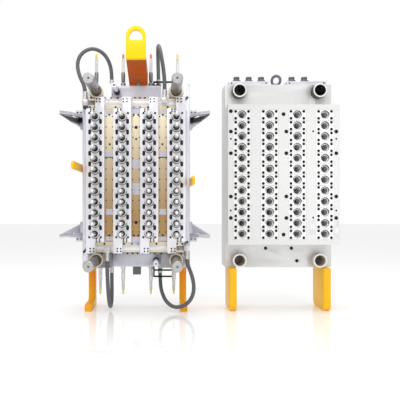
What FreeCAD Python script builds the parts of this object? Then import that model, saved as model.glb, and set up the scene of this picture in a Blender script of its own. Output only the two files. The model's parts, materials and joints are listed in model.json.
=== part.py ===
import FreeCAD, Part

import math
import os

from FreeCAD import Vector

# Injection mould for plastic bottle preforms, shown open: the core half and the cavity half stand
# side by side, both facing the front. Four columns of cavities and cores run from top to bottom.
# X is across the mould, Y points to the back, Z is up. The origin is on the floor, below the
# middle of the whole. All sizes are in millimetres. A depth is measured from the clamping face at
# the back of a half towards the front.

# Cavity layout
COLUMNS = 4
ROWS = 12
COLUMN_PITCH = 140.0
ROW_PITCH = 55.0

# Plates, seen from the front
PLATE_WIDTH = 565.0
PLATE_HEIGHT = 970.0
LEG_HEIGHT = 225.0
HALF_SPACING = 752.0
PLATE_EDGE_BEVEL = 2.0

# Thicknesses of the core half, from the back
CORE_CLAMP_THICKNESS = 60.0
CORE_PLATE_THICKNESS = 65.0
STRIPPER_THICKNESS = 50.0
WEAR_THICKNESS = 12.0
SLIDE_THICKNESS = 35.0
RING_HEIGHT = 12.0

# Thicknesses of the cavity half, from the back
CAVITY_CLAMP_THICKNESS = 50.0
MANIFOLD_PLATE_THICKNESS = 100.0
CAVITY_PLATE_THICKNESS = 125.0
CAVITY_PLATE_END_WALL = 25.5

# Cores and the parts round them
CORE_REACH = 115.0
CORE_BASE_RADIUS = 13.0
CORE_TIP_RADIUS = 10.4
CORE_NOSE_LENGTH = 9.0
CORE_NOSE_RADIUS = 5.5
CORE_CLEARANCE = 1.0
REPEAT_SIDES = 10
RING_BASE_RADIUS = 21.5
RING_TOP_RADIUS = 17.5
RING_SEAT_CLEARANCE = 0.5
PREFORM_WALL = 3.0
CAVITY_END_WALL = 4.0

# Slides: each column has a left and a right bar that meet at the column's middle
SLIDE_WIDTH = 47.0
SLIDE_SHORT_END = 345.0
SLIDE_LAP_PAST_TIE_BAR = 12.7
SLIDE_OPENING = 12.0
SLIDE_SEAT = 24.0
TIE_BAR_HEIGHT = 22.0
TIE_BAR_END_LAP = 43.0
GUIDE_HEIGHT = 24.0
SMALL_GUIDE_HEIGHT = 10.0
RUNNING_GAP = 1.0
FACE_GAP = 0.3

# Stripper plate
STRIPPER_MIDDLE_HEIGHT = 818.0
STRIPPER_NOTCH_WIDTH = 260.0
EJECTION_STROKE = 60.0

# Guide pillars and bushes
PILLAR_X = 210.0
PILLAR_EDGE_DISTANCE = 40.0
PILLAR_RADIUS = 27.0
PILLAR_TIP_DEPTH = 455.0
PILLAR_BEVEL = 3.0
SLIDING_CLEARANCE = 0.05
BUSH_WALL = 10.0
STRIPPER_BUSH_PROUD = 8.0
CAVITY_BUSH_PROUD = 50.0

# Alignment pins of the core plate
ALIGNMENT_PIN_X = 105.0
ALIGNMENT_PIN_EDGE_DISTANCE = 35.0
ALIGNMENT_PIN_RADIUS = 16.0
ALIGNMENT_PIN_LENGTH = 165.0

# Drive arms of the stripper plate
ARM_Z = 282.0
ARM_REACH = 95.0
ARM_FORWARD = 125.0
ARM_THICKNESS = 18.0
ARM_FLANGE_HEIGHT = 76.0
ARM_FLANGE_THICKNESS = 12.0
ARM_WEB_THICKNESS = 10.0
ARM_SLOT_INSET = 16.0
ARM_RIB_THICKNESS = 14.0
ARM_BLOCK = (38.0, 30.0, 28.0)

# Latch straps
STRAP_LEFT_Z = 38.0
STRAP_RIGHT_Z = -34.0
STRAP_HEIGHT = 40.0
STRAP_THICKNESS = 12.0
STRAP_END_CLIP = 12.0
STRAP_GAP = 0.5
STRAP_PIVOT_DEPTH = 95.0
STRAP_REACH = 340.0
STRAP_BOLT_RADIUS = 10.0
STRAP_HOLE_CLEARANCE = 0.1
STRAP_BOLT_IN_PLATE = 30.0
STRAP_HEAD_RADIUS = 16.0
STRAP_HEAD_HEIGHT = 10.0

# Lifting bridge on the core half
BRIDGE_X = 9.0
BRIDGE_WIDTH = 98.0
BRIDGE_BASE_START = 12.0
BRIDGE_BASE_THICKNESS = 20.0
BRIDGE_FRONT_DEPTH = 365.0
BRIDGE_PLATE_THICKNESS = 20.0
BRIDGE_ARM_LOW = 77.0
BRIDGE_ARM_THICKNESS = 26.0
BRIDGE_PLATE_TOP = 150.0
BRIDGE_EYE_TOP = 237.0
BRIDGE_EYE_HALF_WIDTH = 31.0
BRIDGE_EYE_BASE = 168.0
BRIDGE_ARCH_RADIUS = 18.0
BRIDGE_SLOT = (22.0, 9.0)
BRIDGE_SLOT_SETBACK = 26.0
BRIDGE_RIB_THICKNESS = 12.0

# Core half legs: an upright, a gusset below the plate and a foot that reaches forwards
CORE_LEG_X = 250.0
CORE_LEG_WIDTH = 37.0
CORE_LEG_BACK = 5.0
CORE_LEG_UPRIGHT = 50.0
CORE_LEG_GUSSET = 40.0
CORE_FOOT_HEIGHT = 36.0
CORE_FOOT_FRONT = 200.0
CORE_FOOT_CORNER = 16.0

# Cavity half legs: deep plates with rounded lower corners
CAVITY_LEG_X = 245.0
CAVITY_LEG_WIDTH = 37.0
CAVITY_LEG_BACK = 8.0
CAVITY_LEG_FRONT = 205.0
CAVITY_LEG_CORNER = 34.0

# Water nipples above and below the core plate, with clear sleeves and coloured caps
SERVICE_DEPTH = 92.0
UPPER_NIPPLE_PLACES = (-220.0, -75.0, 75.0, 220.0)
LOWER_NIPPLE_PLACES = (-199.0, -75.0, 75.0, 199.0)
NIPPLE_BASE = (14.0, 22.0)
NIPPLE_BODY = (11.0, 57.0)
UPPER_SLEEVE = (9.0, 75.0)
LOWER_SLEEVE = (9.0, 50.0)
SLEEVE_CAP = (6.5, 24.0)

# Hoses between the stripper plate and the core plate
HOSE_RADIUS = 10.0
HOSE_OUTER_X = 266.0
HOSE_INNER_X = 150.0
ELBOW_SIZE = 30.0
ELBOW_OUTER_Z = 380.0
ELBOW_INNER_Z = 388.0
ELBOW_BARB_RADIUS = 12.0
ELBOW_BARB_LENGTH = 20.0
PLATE_FITTING_RADIUS = 12.0
PLATE_FITTING_LENGTH = 15.0
HOSE_ARC_SHARE = 0.45

# Black hose brackets and the sensor box
BRACKET_START = 88.0
BRACKET_LENGTH = 100.0
BRACKET_BAR = 8.0
BRACKET_DEPTH = 12.0
BRACKET_BACK = 107.0
BRACKET_OPENING = 10.0
LOWER_BRACKET_DROP = 58.0
SENSOR_BOX = (42.0, 50.0, 44.0)

# Cavity half details
INSERT_WIDTH = 90.0
GUIDE_BUSH_RADIUS = 37.0
WATER_BAR_START = 48.0
WATER_BAR_END = 260.0
WATER_BAR_HEIGHT = 20.0
WATER_BAR_BACK = 58.0
WATER_BAR_FRONT = 142.0
COUPLING_PLACES = (-214.0, -148.0, -81.0, 84.0, 152.0)
COUPLING_DEPTH = 100.0
COUPLING_BASE_RADIUS = 23.0
COUPLING_BASE_HEIGHT = 12.0
COUPLING_HEAD_RADIUS = 16.5
COUPLING_HEIGHT = 31.0
COUPLING_BORE = 8.0
COUPLING_BORE_DEPTH = 16.0
EYE_HOLE_RADIUS = 16.0
EYE_RING_RADIUS = 30.0
EYE_RING_THICKNESS = 14.0
EYE_COLLAR_RADIUS = 19.0
EYE_COLLAR_HEIGHT = 9.0
EYE_SHANK_RADIUS = 12.0
EYE_SHANK_LENGTH = 36.0
EYE_TURN_DEG = 25.0
LOCATING_RING_RADIUS = 62.5
LOCATING_RING_PROUD = 12.0
LOCATING_RING_SEAT_DEPTH = 5.0
LOCATING_RING_SEAT_CLEARANCE = 0.4
LOCATING_RING_RELIEF_DEPTH = 1.0
LOCATING_RING_FOOT_RADIUS = 60.0
SPRUE_RADIUS = 22.0
SPRUE_SEAT_RADIUS = 15.0
SPRUE_SEAT_DEPTH = 6.0
SPRUE_BORE = 4.0

# Places worked out from the sizes above
CORE_X = (ARM_REACH - HALF_SPACING) / 2
CAVITY_X = (ARM_REACH + HALF_SPACING) / 2
BACK_Y = (PILLAR_TIP_DEPTH - LOCATING_RING_PROUD) / 2
SIDE = PLATE_WIDTH / 2
TOP = PLATE_HEIGHT / 2
PILLAR_Z = TOP - PILLAR_EDGE_DISTANCE
ALIGNMENT_PIN_Z = TOP - ALIGNMENT_PIN_EDGE_DISTANCE
CENTRE_Z = LEG_HEIGHT + TOP

CLAMP_FACE = CORE_CLAMP_THICKNESS
CORE_FACE = CLAMP_FACE + CORE_PLATE_THICKNESS
STRIPPER_FACE = CORE_FACE + STRIPPER_THICKNESS
WEAR_FACE = STRIPPER_FACE + WEAR_THICKNESS
SLIDE_FACE = WEAR_FACE + SLIDE_THICKNESS
RING_FACE = SLIDE_FACE + RING_HEIGHT
TIE_BAR_START = SLIDE_SHORT_END + RUNNING_GAP + GUIDE_HEIGHT + FACE_GAP
SLIDE_LONG_END = TIE_BAR_START + TIE_BAR_HEIGHT + SLIDE_LAP_PAST_TIE_BAR
CORE_TIP = SLIDE_FACE + CORE_REACH
CORE_SHOULDER = CORE_TIP - CORE_NOSE_LENGTH

CAVITY_CLAMP_FACE = CAVITY_CLAMP_THICKNESS
MANIFOLD_FACE = CAVITY_CLAMP_FACE + MANIFOLD_PLATE_THICKNESS
CAVITY_FACE = MANIFOLD_FACE + CAVITY_PLATE_THICKNESS
CAVITY_PLATE_HEIGHT = ROWS * ROW_PITCH + 2 * CAVITY_PLATE_END_WALL

FLAT_TO_CORNER = 1 / math.cos(math.pi / REPEAT_SIDES)
RING_BORE_RADIUS = CORE_BASE_RADIUS + CORE_CLEARANCE
RING_BORE_CORNER = RING_BORE_RADIUS * FLAT_TO_CORNER
BUSH_OUTER_RADIUS = PILLAR_RADIUS + BUSH_WALL

FRONT = Vector(0, -1, 0)
UP = Vector(0, 0, 1)
DOWN = Vector(0, 0, -1)
ACROSS = Vector(1, 0, 0)


def column_places():
    """Distance of each column from the middle of its half."""
    first = -(COLUMNS - 1) / 2 * COLUMN_PITCH
    return [first + i * COLUMN_PITCH for i in range(COLUMNS)]


def row_places():
    """Height of each row above the middle of the plates."""
    first = -(ROWS - 1) / 2 * ROW_PITCH
    return [first + i * ROW_PITCH for i in range(ROWS)]


def corners(x, z):
    """The four places at plus and minus x and z."""
    return [(sx * x, sz * z) for sx in (-1, 1) for sz in (-1, 1)]


def point(half_x, x, depth, z):
    """A point of a half: x from its middle, depth from its back, z from the plates' middle."""
    return Vector(half_x + x, BACK_Y - depth, CENTRE_Z + z)


def block(half_x, x0, x1, back, front, z0, z1):
    """A box between two widths, two depths and two heights."""
    corner = point(half_x, min(x0, x1), front, min(z0, z1))
    return Part.makeBox(abs(x1 - x0), front - back, abs(z1 - z0), corner)


def rod(half_x, x, z, back, front, radius):
    """A cylinder that runs from one depth to another."""
    return Part.makeCylinder(radius, front - back, point(half_x, x, back, z), FRONT)


def post(half_x, x, depth, z, height, radius, direction=UP):
    """A cylinder that stands on a point, upwards or downwards."""
    return Part.makeCylinder(radius, height, point(half_x, x, depth, z), direction)


def side_profile(half_x, x0, x1, outline):
    """A plate across x whose outline is given as depths and heights."""
    points = [point(half_x, x0, depth, z) for depth, z in outline]
    face = Part.Face(Part.makePolygon(points + points[:1]))
    return face.extrude(Vector(x1 - x0, 0, 0))


def flat_profile(half_x, z0, thickness, outline):
    """A level plate whose outline is given as widths and depths."""
    points = [point(half_x, x, depth, z0) for x, depth in outline]
    face = Part.Face(Part.makePolygon(points + points[:1]))
    return face.extrude(Vector(0, 0, thickness))


def corner_ring(centre, along, radius):
    """The corners of a regular outline round a point, the first one above it or in front of it."""
    first = UP if abs(along.z) < 0.5 else FRONT
    second = along.cross(first)
    turn = 2 * math.pi / REPEAT_SIDES
    return [
        centre + (first * math.cos(i * turn) + second * math.sin(i * turn)) * radius
        for i in range(REPEAT_SIDES)
    ]


def flat_sided(start, along, sections):
    """A turned shape with flat sides: sections are distances from the start and corner radii."""
    rings = [corner_ring(start + along * distance, along, radius) for distance, radius in sections]
    outlines = [rings[0], rings[-1]]
    for near, far in zip(rings, rings[1:]):
        for i in range(REPEAT_SIDES):
            j = (i + 1) % REPEAT_SIDES
            outlines.append([near[i], near[j], far[j], far[i]])
    faces = [Part.Face(Part.makePolygon(outline + outline[:1])) for outline in outlines]
    solid = Part.Solid(Part.Shell(faces))
    return solid if solid.Volume > 0 else solid.reversed()


def faceted(half_x, x, z, sections):
    """A flat-sided turned shape along the depth: sections are depths and corner radii."""
    return flat_sided(point(half_x, x, 0, z), FRONT, sections)


def faceted_post(half_x, x, depth, z, sections, direction=UP):
    """A flat-sided turned shape that stands on a point, upwards or downwards."""
    return flat_sided(point(half_x, x, depth, z), direction, sections)


def fused(shapes):
    """One solid from pieces that touch or overlap."""
    whole = shapes[0].fuse(shapes[1:]) if len(shapes) > 1 else shapes[0]
    return whole.removeSplitter()


def less(shape, cutters):
    """The shape without the cutters."""
    return shape.cut(cutters).removeSplitter() if cutters else shape


def group(shapes):
    """Separate solids kept together as one sub-part."""
    return Part.makeCompound([s for shape in shapes for s in shape.Solids])


def plate(half_x, back, front, height=PLATE_HEIGHT):
    """A full-width plate with its long front and back edges bevelled."""
    blank = block(half_x, -SIDE, SIDE, back, front, -height / 2, height / 2)
    upright = [e for e in blank.Edges if abs(e.BoundBox.ZLength - height) < 0.1]
    return blank.makeChamfer(PLATE_EDGE_BEVEL, upright)


def core_clamp_plate():
    return plate(CORE_X, 0, CLAMP_FACE)


def strap_bolt_holes():
    """Tapped holes in the sides of the core plate."""
    return [
        strap_pin(side, z, SIDE - STRAP_BOLT_IN_PLATE, SIDE, STRAP_BOLT_RADIUS)
        for side, z in ((-1, STRAP_LEFT_Z), (1, STRAP_RIGHT_Z))
    ]


def core_plate():
    pillar_holes = [
        rod(CORE_X, x, z, CLAMP_FACE, CORE_FACE, PILLAR_RADIUS)
        for x, z in corners(PILLAR_X, PILLAR_Z)
    ]
    return less(plate(CORE_X, CLAMP_FACE, CORE_FACE), pillar_holes + strap_bolt_holes())


def cores():
    """Tapered cores on the core plate, each with a narrowed nose."""
    sections = [
        (CORE_FACE, CORE_BASE_RADIUS),
        (CORE_SHOULDER, CORE_TIP_RADIUS),
        (CORE_TIP, CORE_NOSE_RADIUS),
    ]
    return group([faceted(CORE_X, x, z, sections) for x in column_places() for z in row_places()])


def guide_pillars():
    made = []
    for x, z in corners(PILLAR_X, PILLAR_Z):
        shaft = rod(CORE_X, x, z, CLAMP_FACE, PILLAR_TIP_DEPTH, PILLAR_RADIUS)
        tip_edge = min(shaft.Edges, key=lambda e: e.CenterOfMass.y)
        made.append(shaft.makeChamfer(PILLAR_BEVEL, [tip_edge]))
    return group(made)


def alignment_pins():
    tip = CORE_FACE + ALIGNMENT_PIN_LENGTH
    places = [(side * ALIGNMENT_PIN_X, -side * ALIGNMENT_PIN_Z) for side in (-1, 1)]
    return group([rod(CORE_X, x, z, CORE_FACE, tip, ALIGNMENT_PIN_RADIUS) for x, z in places])


def core_slot(column_x):
    """The long opening of the stripper plate that a column of cores passes through."""
    half_length = row_places()[-1]
    x0, x1 = column_x - RING_BORE_RADIUS, column_x + RING_BORE_RADIUS
    slot_end = half_length + RING_BORE_RADIUS
    return block(CORE_X, x0, x1, CORE_FACE, STRIPPER_FACE, -slot_end, slot_end)


def stripper_plate():
    blank = plate(CORE_X, CORE_FACE, STRIPPER_FACE)
    half_notch = STRIPPER_NOTCH_WIDTH / 2
    half_middle = STRIPPER_MIDDLE_HEIGHT / 2
    notches = [
        block(CORE_X, -half_notch, half_notch, CORE_FACE, STRIPPER_FACE, end * half_middle, end * TOP)
        for end in (-1, 1)
    ]
    bush_holes = [
        rod(CORE_X, x, z, CORE_FACE, STRIPPER_FACE, BUSH_OUTER_RADIUS)
        for x, z in corners(PILLAR_X, PILLAR_Z)
    ]
    slots = [core_slot(x) for x in column_places()]
    return less(blank, notches + bush_holes + slots)


def bush(half_x, x, z, back, front, outer_radius):
    """A guide bush: a plain tube that a pillar slides in."""
    tube = rod(half_x, x, z, back, front, outer_radius)
    return tube.cut(rod(half_x, x, z, back, front, PILLAR_RADIUS + SLIDING_CLEARANCE))


def stripper_bushes():
    front = STRIPPER_FACE + STRIPPER_BUSH_PROUD
    return group(
        [bush(CORE_X, x, z, CORE_FACE, front, BUSH_OUTER_RADIUS) for x, z in corners(PILLAR_X, PILLAR_Z)]
    )


def wear_strips():
    """Bronze strips that the slides run on, between and beside the columns."""
    seat = SLIDE_WIDTH - SLIDE_SEAT
    places = column_places()
    spans = [(a + seat, b - seat) for a, b in zip(places, places[1:])]
    edge = places[-1] + SLIDE_WIDTH + SLIDE_OPENING
    spans += [(-edge, places[0] - seat), (places[-1] + seat, edge)]
    return group(
        [
            block(CORE_X, a, b, STRIPPER_FACE, WEAR_FACE, -SLIDE_SHORT_END, SLIDE_SHORT_END)
            for a, b in spans
        ]
    )


def tie_bar_middle():
    """Height of a tie bar's middle: between the two bronze guides that lead it."""
    return TIE_BAR_START + TIE_BAR_HEIGHT / 2


def tie_bar_guides():
    """Bronze guides above and below each tie bar."""
    half_length = HOSE_OUTER_X - ELBOW_SIZE / 2 - RUNNING_GAP
    inner = SLIDE_SHORT_END + RUNNING_GAP
    outer = tie_bar_middle() + TIE_BAR_HEIGHT / 2 + FACE_GAP
    made = []
    for end in (-1, 1):
        for start, height in ((inner, GUIDE_HEIGHT), (outer, SMALL_GUIDE_HEIGHT)):
            low, high = end * start, end * (start + height)
            made.append(block(CORE_X, -half_length, half_length, STRIPPER_FACE, WEAR_FACE, low, high))
    return group(made)


def tie_bar(side):
    """The bar that joins the slides of one side, at the bottom for the left ones."""
    places = column_places()
    inner = places[0] + min(side, 0) * TIE_BAR_END_LAP
    outer = places[-1] + max(side, 0) * TIE_BAR_END_LAP
    middle = side * tie_bar_middle()
    half_height = TIE_BAR_HEIGHT / 2
    back = STRIPPER_FACE + FACE_GAP
    return block(CORE_X, inner, outer, back, WEAR_FACE, middle - half_height, middle + half_height)


def slide_bar(column_x, side):
    """One slide with the neck ring halves of its column, side -1 for left and 1 for right."""
    far_x = column_x + side * SLIDE_WIDTH
    low = -SLIDE_LONG_END if side < 0 else -SLIDE_SHORT_END
    high = SLIDE_SHORT_END if side < 0 else SLIDE_LONG_END
    bar = block(CORE_X, column_x, far_x, WEAR_FACE, SLIDE_FACE, low, high)
    ring = [(SLIDE_FACE, RING_BASE_RADIUS), (RING_FACE, RING_TOP_RADIUS)]
    bore = [(WEAR_FACE, RING_BORE_CORNER), (RING_FACE, RING_BORE_CORNER)]
    rings = [faceted(CORE_X, column_x, z, ring) for z in row_places()]
    bores = [faceted(CORE_X, column_x, z, bore) for z in row_places()]
    other_x = column_x - side * SLIDE_WIDTH
    other_side = block(CORE_X, column_x, other_x, WEAR_FACE, RING_FACE, -SLIDE_LONG_END, SLIDE_LONG_END)
    return less(fused([bar] + rings), bores + [other_side])


def slides(side):
    return group([slide_bar(x, side) for x in column_places()])


def arm_outline(side, inset):
    """Outline of a drive arm seen from above: it reaches outwards and forwards."""
    root_back = CORE_FACE + RUNNING_GAP + inset
    root_front = STRIPPER_FACE - RUNNING_GAP - inset
    tip = STRIPPER_FACE + ARM_FORWARD - inset
    reach = ARM_REACH - inset
    root = SIDE + inset
    outline = [
        (root, root_back),
        (root, root_front),
        (SIDE + reach * 0.45, tip - ARM_FORWARD * 0.3),
        (SIDE + reach, tip),
        (SIDE + reach, tip - ARM_FORWARD * 0.3),
    ]
    return [(side * x, depth) for x, depth in outline]


def arm_rib(side, end):
    """A triangular rib that runs under the outer edge of an arm's shelf to its tip."""
    shelf_z = end * (ARM_Z + ARM_FLANGE_HEIGHT / 2 - ARM_THICKNESS)
    low_z = end * (ARM_Z - ARM_FLANGE_HEIGHT / 2)
    back = CORE_FACE + RUNNING_GAP
    tip_depth = STRIPPER_FACE + ARM_FORWARD * 0.7
    root = point(CORE_X, side * SIDE, back, shelf_z)
    low = point(CORE_X, side * SIDE, back, low_z)
    tip = point(CORE_X, side * (SIDE + ARM_REACH), tip_depth, shelf_z)
    along = tip - root
    inwards = Vector(side * along.y, -side * along.x, 0).normalize() * ARM_RIB_THICKNESS
    rib = Part.Face(Part.makePolygon([root, low, tip, root])).extrude(inwards)
    inside_x = side * (SIDE - 2 * ARM_RIB_THICKNESS)
    inside = block(CORE_X, inside_x, side * SIDE, 0, tip_depth, low_z, shelf_z)
    return rib.cut(inside)


def drive_arm(side, end):
    """An arm bolted to the side of the stripper plate, side and end being -1 or 1."""
    outer_z = end * (ARM_Z + ARM_FLANGE_HEIGHT / 2)
    inner_z = end * (ARM_Z - ARM_FLANGE_HEIGHT / 2)
    back, front = CORE_FACE + RUNNING_GAP, STRIPPER_FACE - RUNNING_GAP
    flange_x = side * (SIDE + ARM_FLANGE_THICKNESS)
    flange = block(CORE_X, side * SIDE, flange_x, back, front, inner_z, outer_z)
    shelf_z = min(outer_z, outer_z - end * ARM_THICKNESS)
    shelf = flat_profile(CORE_X, shelf_z, ARM_THICKNESS, arm_outline(side, 0))
    window = flat_profile(CORE_X, shelf_z, ARM_THICKNESS, arm_outline(side, ARM_SLOT_INSET))
    web_front = (front + back) / 2 + ARM_WEB_THICKNESS / 2
    web_points = [
        point(CORE_X, side * SIDE, web_front, inner_z),
        point(CORE_X, side * (SIDE + ARM_FLANGE_THICKNESS), web_front, inner_z),
        point(CORE_X, side * (SIDE + ARM_REACH * 0.4), web_front, outer_z - end * ARM_THICKNESS),
        point(CORE_X, side * SIDE, web_front, outer_z - end * ARM_THICKNESS),
    ]
    web = Part.Face(Part.makePolygon(web_points + web_points[:1]))
    web = web.extrude(Vector(0, ARM_WEB_THICKNESS, 0))
    return fused([less(shelf, [window]), flange, web, arm_rib(side, end)])


def drive_arms():
    return group([drive_arm(side, end) for side in (-1, 1) for end in (-1, 1)])


def arm_blocks():
    """Adjusting blocks that stand on the arms beside the plate."""
    width, depth, height = ARM_BLOCK
    middle = (CORE_FACE + STRIPPER_FACE) / 2
    made = []
    for side in (-1, 1):
        for end in (-1, 1):
            z = end * (ARM_Z + ARM_FLANGE_HEIGHT / 2)
            near = side * SIDE
            far = side * (SIDE + width)
            made.append(
                block(CORE_X, near, far, middle - depth / 2, middle + depth / 2, z, z + end * height)
            )
    return group(made)


def strap_pin(side, z, x0, x1, radius):
    """A cylinder across x at the pivot of a latch strap."""
    start = point(CORE_X, side * x0, STRAP_PIVOT_DEPTH, z)
    return Part.makeCylinder(radius, x1 - x0, start, ACROSS * side)


def latch_strap(side, z):
    """A flat strap with clipped ends that points forwards, on its pivot bolt."""
    near = SIDE + STRAP_GAP
    far = near + STRAP_THICKNESS
    half, clip = STRAP_HEIGHT / 2, STRAP_END_CLIP
    back, tip = STRAP_PIVOT_DEPTH - half, STRAP_PIVOT_DEPTH + STRAP_REACH
    outline = [
        (back, z - half + clip),
        (back + clip, z - half),
        (tip - clip, z - half),
        (tip, z - half + clip),
        (tip, z + half - clip),
        (tip - clip, z + half),
        (back + clip, z + half),
        (back, z + half - clip),
    ]
    bar = side_profile(CORE_X, min(side * near, side * far), max(side * near, side * far), outline)
    start = point(CORE_X, side * near, tip - half, z)
    far_hole = Part.makeCylinder(STRAP_BOLT_RADIUS, STRAP_THICKNESS, start, ACROSS * side)
    pivot_hole = strap_pin(side, z, near, far, STRAP_BOLT_RADIUS + STRAP_HOLE_CLEARANCE)
    return less(bar, [pivot_hole, far_hole])


def latch_bolts():
    """Shoulder bolts that carry the straps."""
    made = []
    far = SIDE + STRAP_GAP + STRAP_THICKNESS + FACE_GAP
    for side, z in ((-1, STRAP_LEFT_Z), (1, STRAP_RIGHT_Z)):
        shank = strap_pin(side, z, SIDE - STRAP_BOLT_IN_PLATE, far, STRAP_BOLT_RADIUS)
        seat = point(CORE_X, side * far, STRAP_PIVOT_DEPTH, z)
        sections = [(0, STRAP_HEAD_RADIUS), (STRAP_HEAD_HEIGHT, STRAP_HEAD_RADIUS)]
        head = flat_sided(seat, ACROSS * side, sections)
        made.append(shank.fuse(head))
    return group(made)


def bridge_eye():
    """The loop above the bridge's front plate, with its opening cut out."""
    back = BRIDGE_FRONT_DEPTH - BRIDGE_PLATE_THICKNESS
    half = BRIDGE_WIDTH / 2
    crown = TOP + BRIDGE_EYE_TOP - half
    base = TOP + BRIDGE_ARM_LOW
    front_plate = block(
        CORE_X, BRIDGE_X - half, BRIDGE_X + half, back, BRIDGE_FRONT_DEPTH, base, crown
    )
    arch = rod(CORE_X, BRIDGE_X, crown, back, BRIDGE_FRONT_DEPTH, half)
    hole_half = BRIDGE_EYE_HALF_WIDTH
    hole_base = TOP + BRIDGE_EYE_BASE
    hole = block(
        CORE_X, BRIDGE_X - hole_half, BRIDGE_X + hole_half, back, BRIDGE_FRONT_DEPTH, hole_base, crown
    )
    above = block(
        CORE_X, BRIDGE_X - half, BRIDGE_X + half, back, BRIDGE_FRONT_DEPTH, crown, TOP + BRIDGE_EYE_TOP
    )
    hole_arch = rod(CORE_X, BRIDGE_X, crown, back, BRIDGE_FRONT_DEPTH, hole_half).common(above)
    return less(fused([front_plate, arch]), [hole.fuse(hole_arch)])


def lifting_bridge():
    """Welded lifting bracket: base, rising arm over the mould, front plate and eye."""
    half = BRIDGE_WIDTH / 2
    x0, x1 = BRIDGE_X - half, BRIDGE_X + half
    base = block(
        CORE_X, x0, x1, BRIDGE_BASE_START, CORE_FACE, TOP, TOP + BRIDGE_BASE_THICKNESS
    )
    front = BRIDGE_FRONT_DEPTH - BRIDGE_PLATE_THICKNESS
    arm_high = BRIDGE_ARM_LOW + BRIDGE_ARM_THICKNESS
    arm = side_profile(
        CORE_X,
        x0,
        x1,
        [
            (CLAMP_FACE, TOP + BRIDGE_BASE_THICKNESS),
            (CORE_FACE, TOP + BRIDGE_BASE_THICKNESS / 2),
            (front, TOP + BRIDGE_ARM_LOW),
            (front, TOP + arm_high),
            (CLAMP_FACE, TOP + arm_high - BRIDGE_BASE_THICKNESS),
        ],
    )
    arch_start, arch_end = BRIDGE_BASE_START, CORE_FACE + BRIDGE_ARCH_RADIUS
    arch = rod(CORE_X, BRIDGE_X, TOP, arch_start, arch_end, BRIDGE_ARCH_RADIUS)
    slot_width, slot_depth = BRIDGE_SLOT
    slot_front = front - BRIDGE_SLOT_SETBACK
    slot = block(
        CORE_X,
        BRIDGE_X - slot_width / 2,
        BRIDGE_X + slot_width / 2,
        slot_front - slot_depth,
        slot_front,
        TOP,
        TOP + BRIDGE_PLATE_TOP,
    )
    return less(fused([base, arm, bridge_eye()]), [arch, slot])


def core_leg(side):
    """A leg of the core half: upright, gusset and forward foot in one welded piece."""
    x0 = side * (CORE_LEG_X - CORE_LEG_WIDTH / 2)
    x1 = side * (CORE_LEG_X + CORE_LEG_WIDTH / 2)
    floor = -CENTRE_Z
    shin = CORE_LEG_BACK + CORE_LEG_UPRIGHT
    outline = [
        (CORE_LEG_BACK, floor),
        (CORE_FOOT_FRONT, floor),
        (CORE_FOOT_FRONT, floor + CORE_FOOT_HEIGHT - CORE_FOOT_CORNER),
        (CORE_FOOT_FRONT - CORE_FOOT_CORNER, floor + CORE_FOOT_HEIGHT),
        (shin + CORE_FOOT_CORNER, floor + CORE_FOOT_HEIGHT),
        (shin, floor + CORE_FOOT_HEIGHT + CORE_FOOT_CORNER),
        (shin, -TOP - CORE_LEG_GUSSET),
        (shin + CORE_LEG_GUSSET, -TOP),
        (CORE_LEG_BACK, -TOP),
    ]
    return side_profile(CORE_X, x0, x1, outline)


def cavity_leg(side):
    """A leg of the cavity half: a deep plate with rounded lower corners."""
    x0 = side * (CAVITY_LEG_X - CAVITY_LEG_WIDTH / 2)
    x1 = side * (CAVITY_LEG_X + CAVITY_LEG_WIDTH / 2)
    blank = block(CAVITY_X, x0, x1, CAVITY_LEG_BACK, CAVITY_LEG_FRONT, -CENTRE_Z, -TOP)
    low = [
        e
        for e in blank.Edges
        if abs(e.BoundBox.XLength - CAVITY_LEG_WIDTH) < 0.1 and e.BoundBox.ZMax < CAVITY_LEG_CORNER
    ]
    return blank.makeFillet(CAVITY_LEG_CORNER, low)


def stack(x, steps, direction, start):
    """Flat-sided posts one on another, given as radius and height, from a height outwards."""
    sections = []
    level = 0
    for radius, height in steps:
        sections += [(level, radius), (level + height, radius)]
        level += height
    return faceted_post(CORE_X, x, SERVICE_DEPTH, direction.z * start, sections, direction)


NIPPLE_END = TOP + NIPPLE_BASE[1] + NIPPLE_BODY[1]


def nipple_sites():
    """Each water nipple's place, direction and the sleeve on it."""
    upper = [(x, UP, UPPER_SLEEVE) for x in UPPER_NIPPLE_PLACES]
    lower = [(x, DOWN, LOWER_SLEEVE) for x in LOWER_NIPPLE_PLACES]
    return upper + lower


def water_nipples():
    return group([stack(x, (NIPPLE_BASE, NIPPLE_BODY), way, TOP) for x, way, sleeve in nipple_sites()])


def nipple_sleeves():
    return group([stack(x, [sleeve], way, NIPPLE_END) for x, way, sleeve in nipple_sites()])


def nipple_caps():
    return group(
        [stack(x, [SLEEVE_CAP], way, NIPPLE_END + sleeve[1]) for x, way, sleeve in nipple_sites()]
    )


OUTER_HOSE_START = ELBOW_OUTER_Z + ELBOW_SIZE / 2 + ELBOW_BARB_LENGTH
INNER_HOSE_START = ELBOW_INNER_Z + ELBOW_SIZE / 2 + ELBOW_BARB_LENGTH
OUTER_HOSE_DEPTH = STRIPPER_FACE + ELBOW_SIZE / 2
INNER_HOSE_DEPTH = WEAR_FACE + ELBOW_SIZE / 2
HOSE_PLATE_END = TOP + PLATE_FITTING_LENGTH

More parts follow.
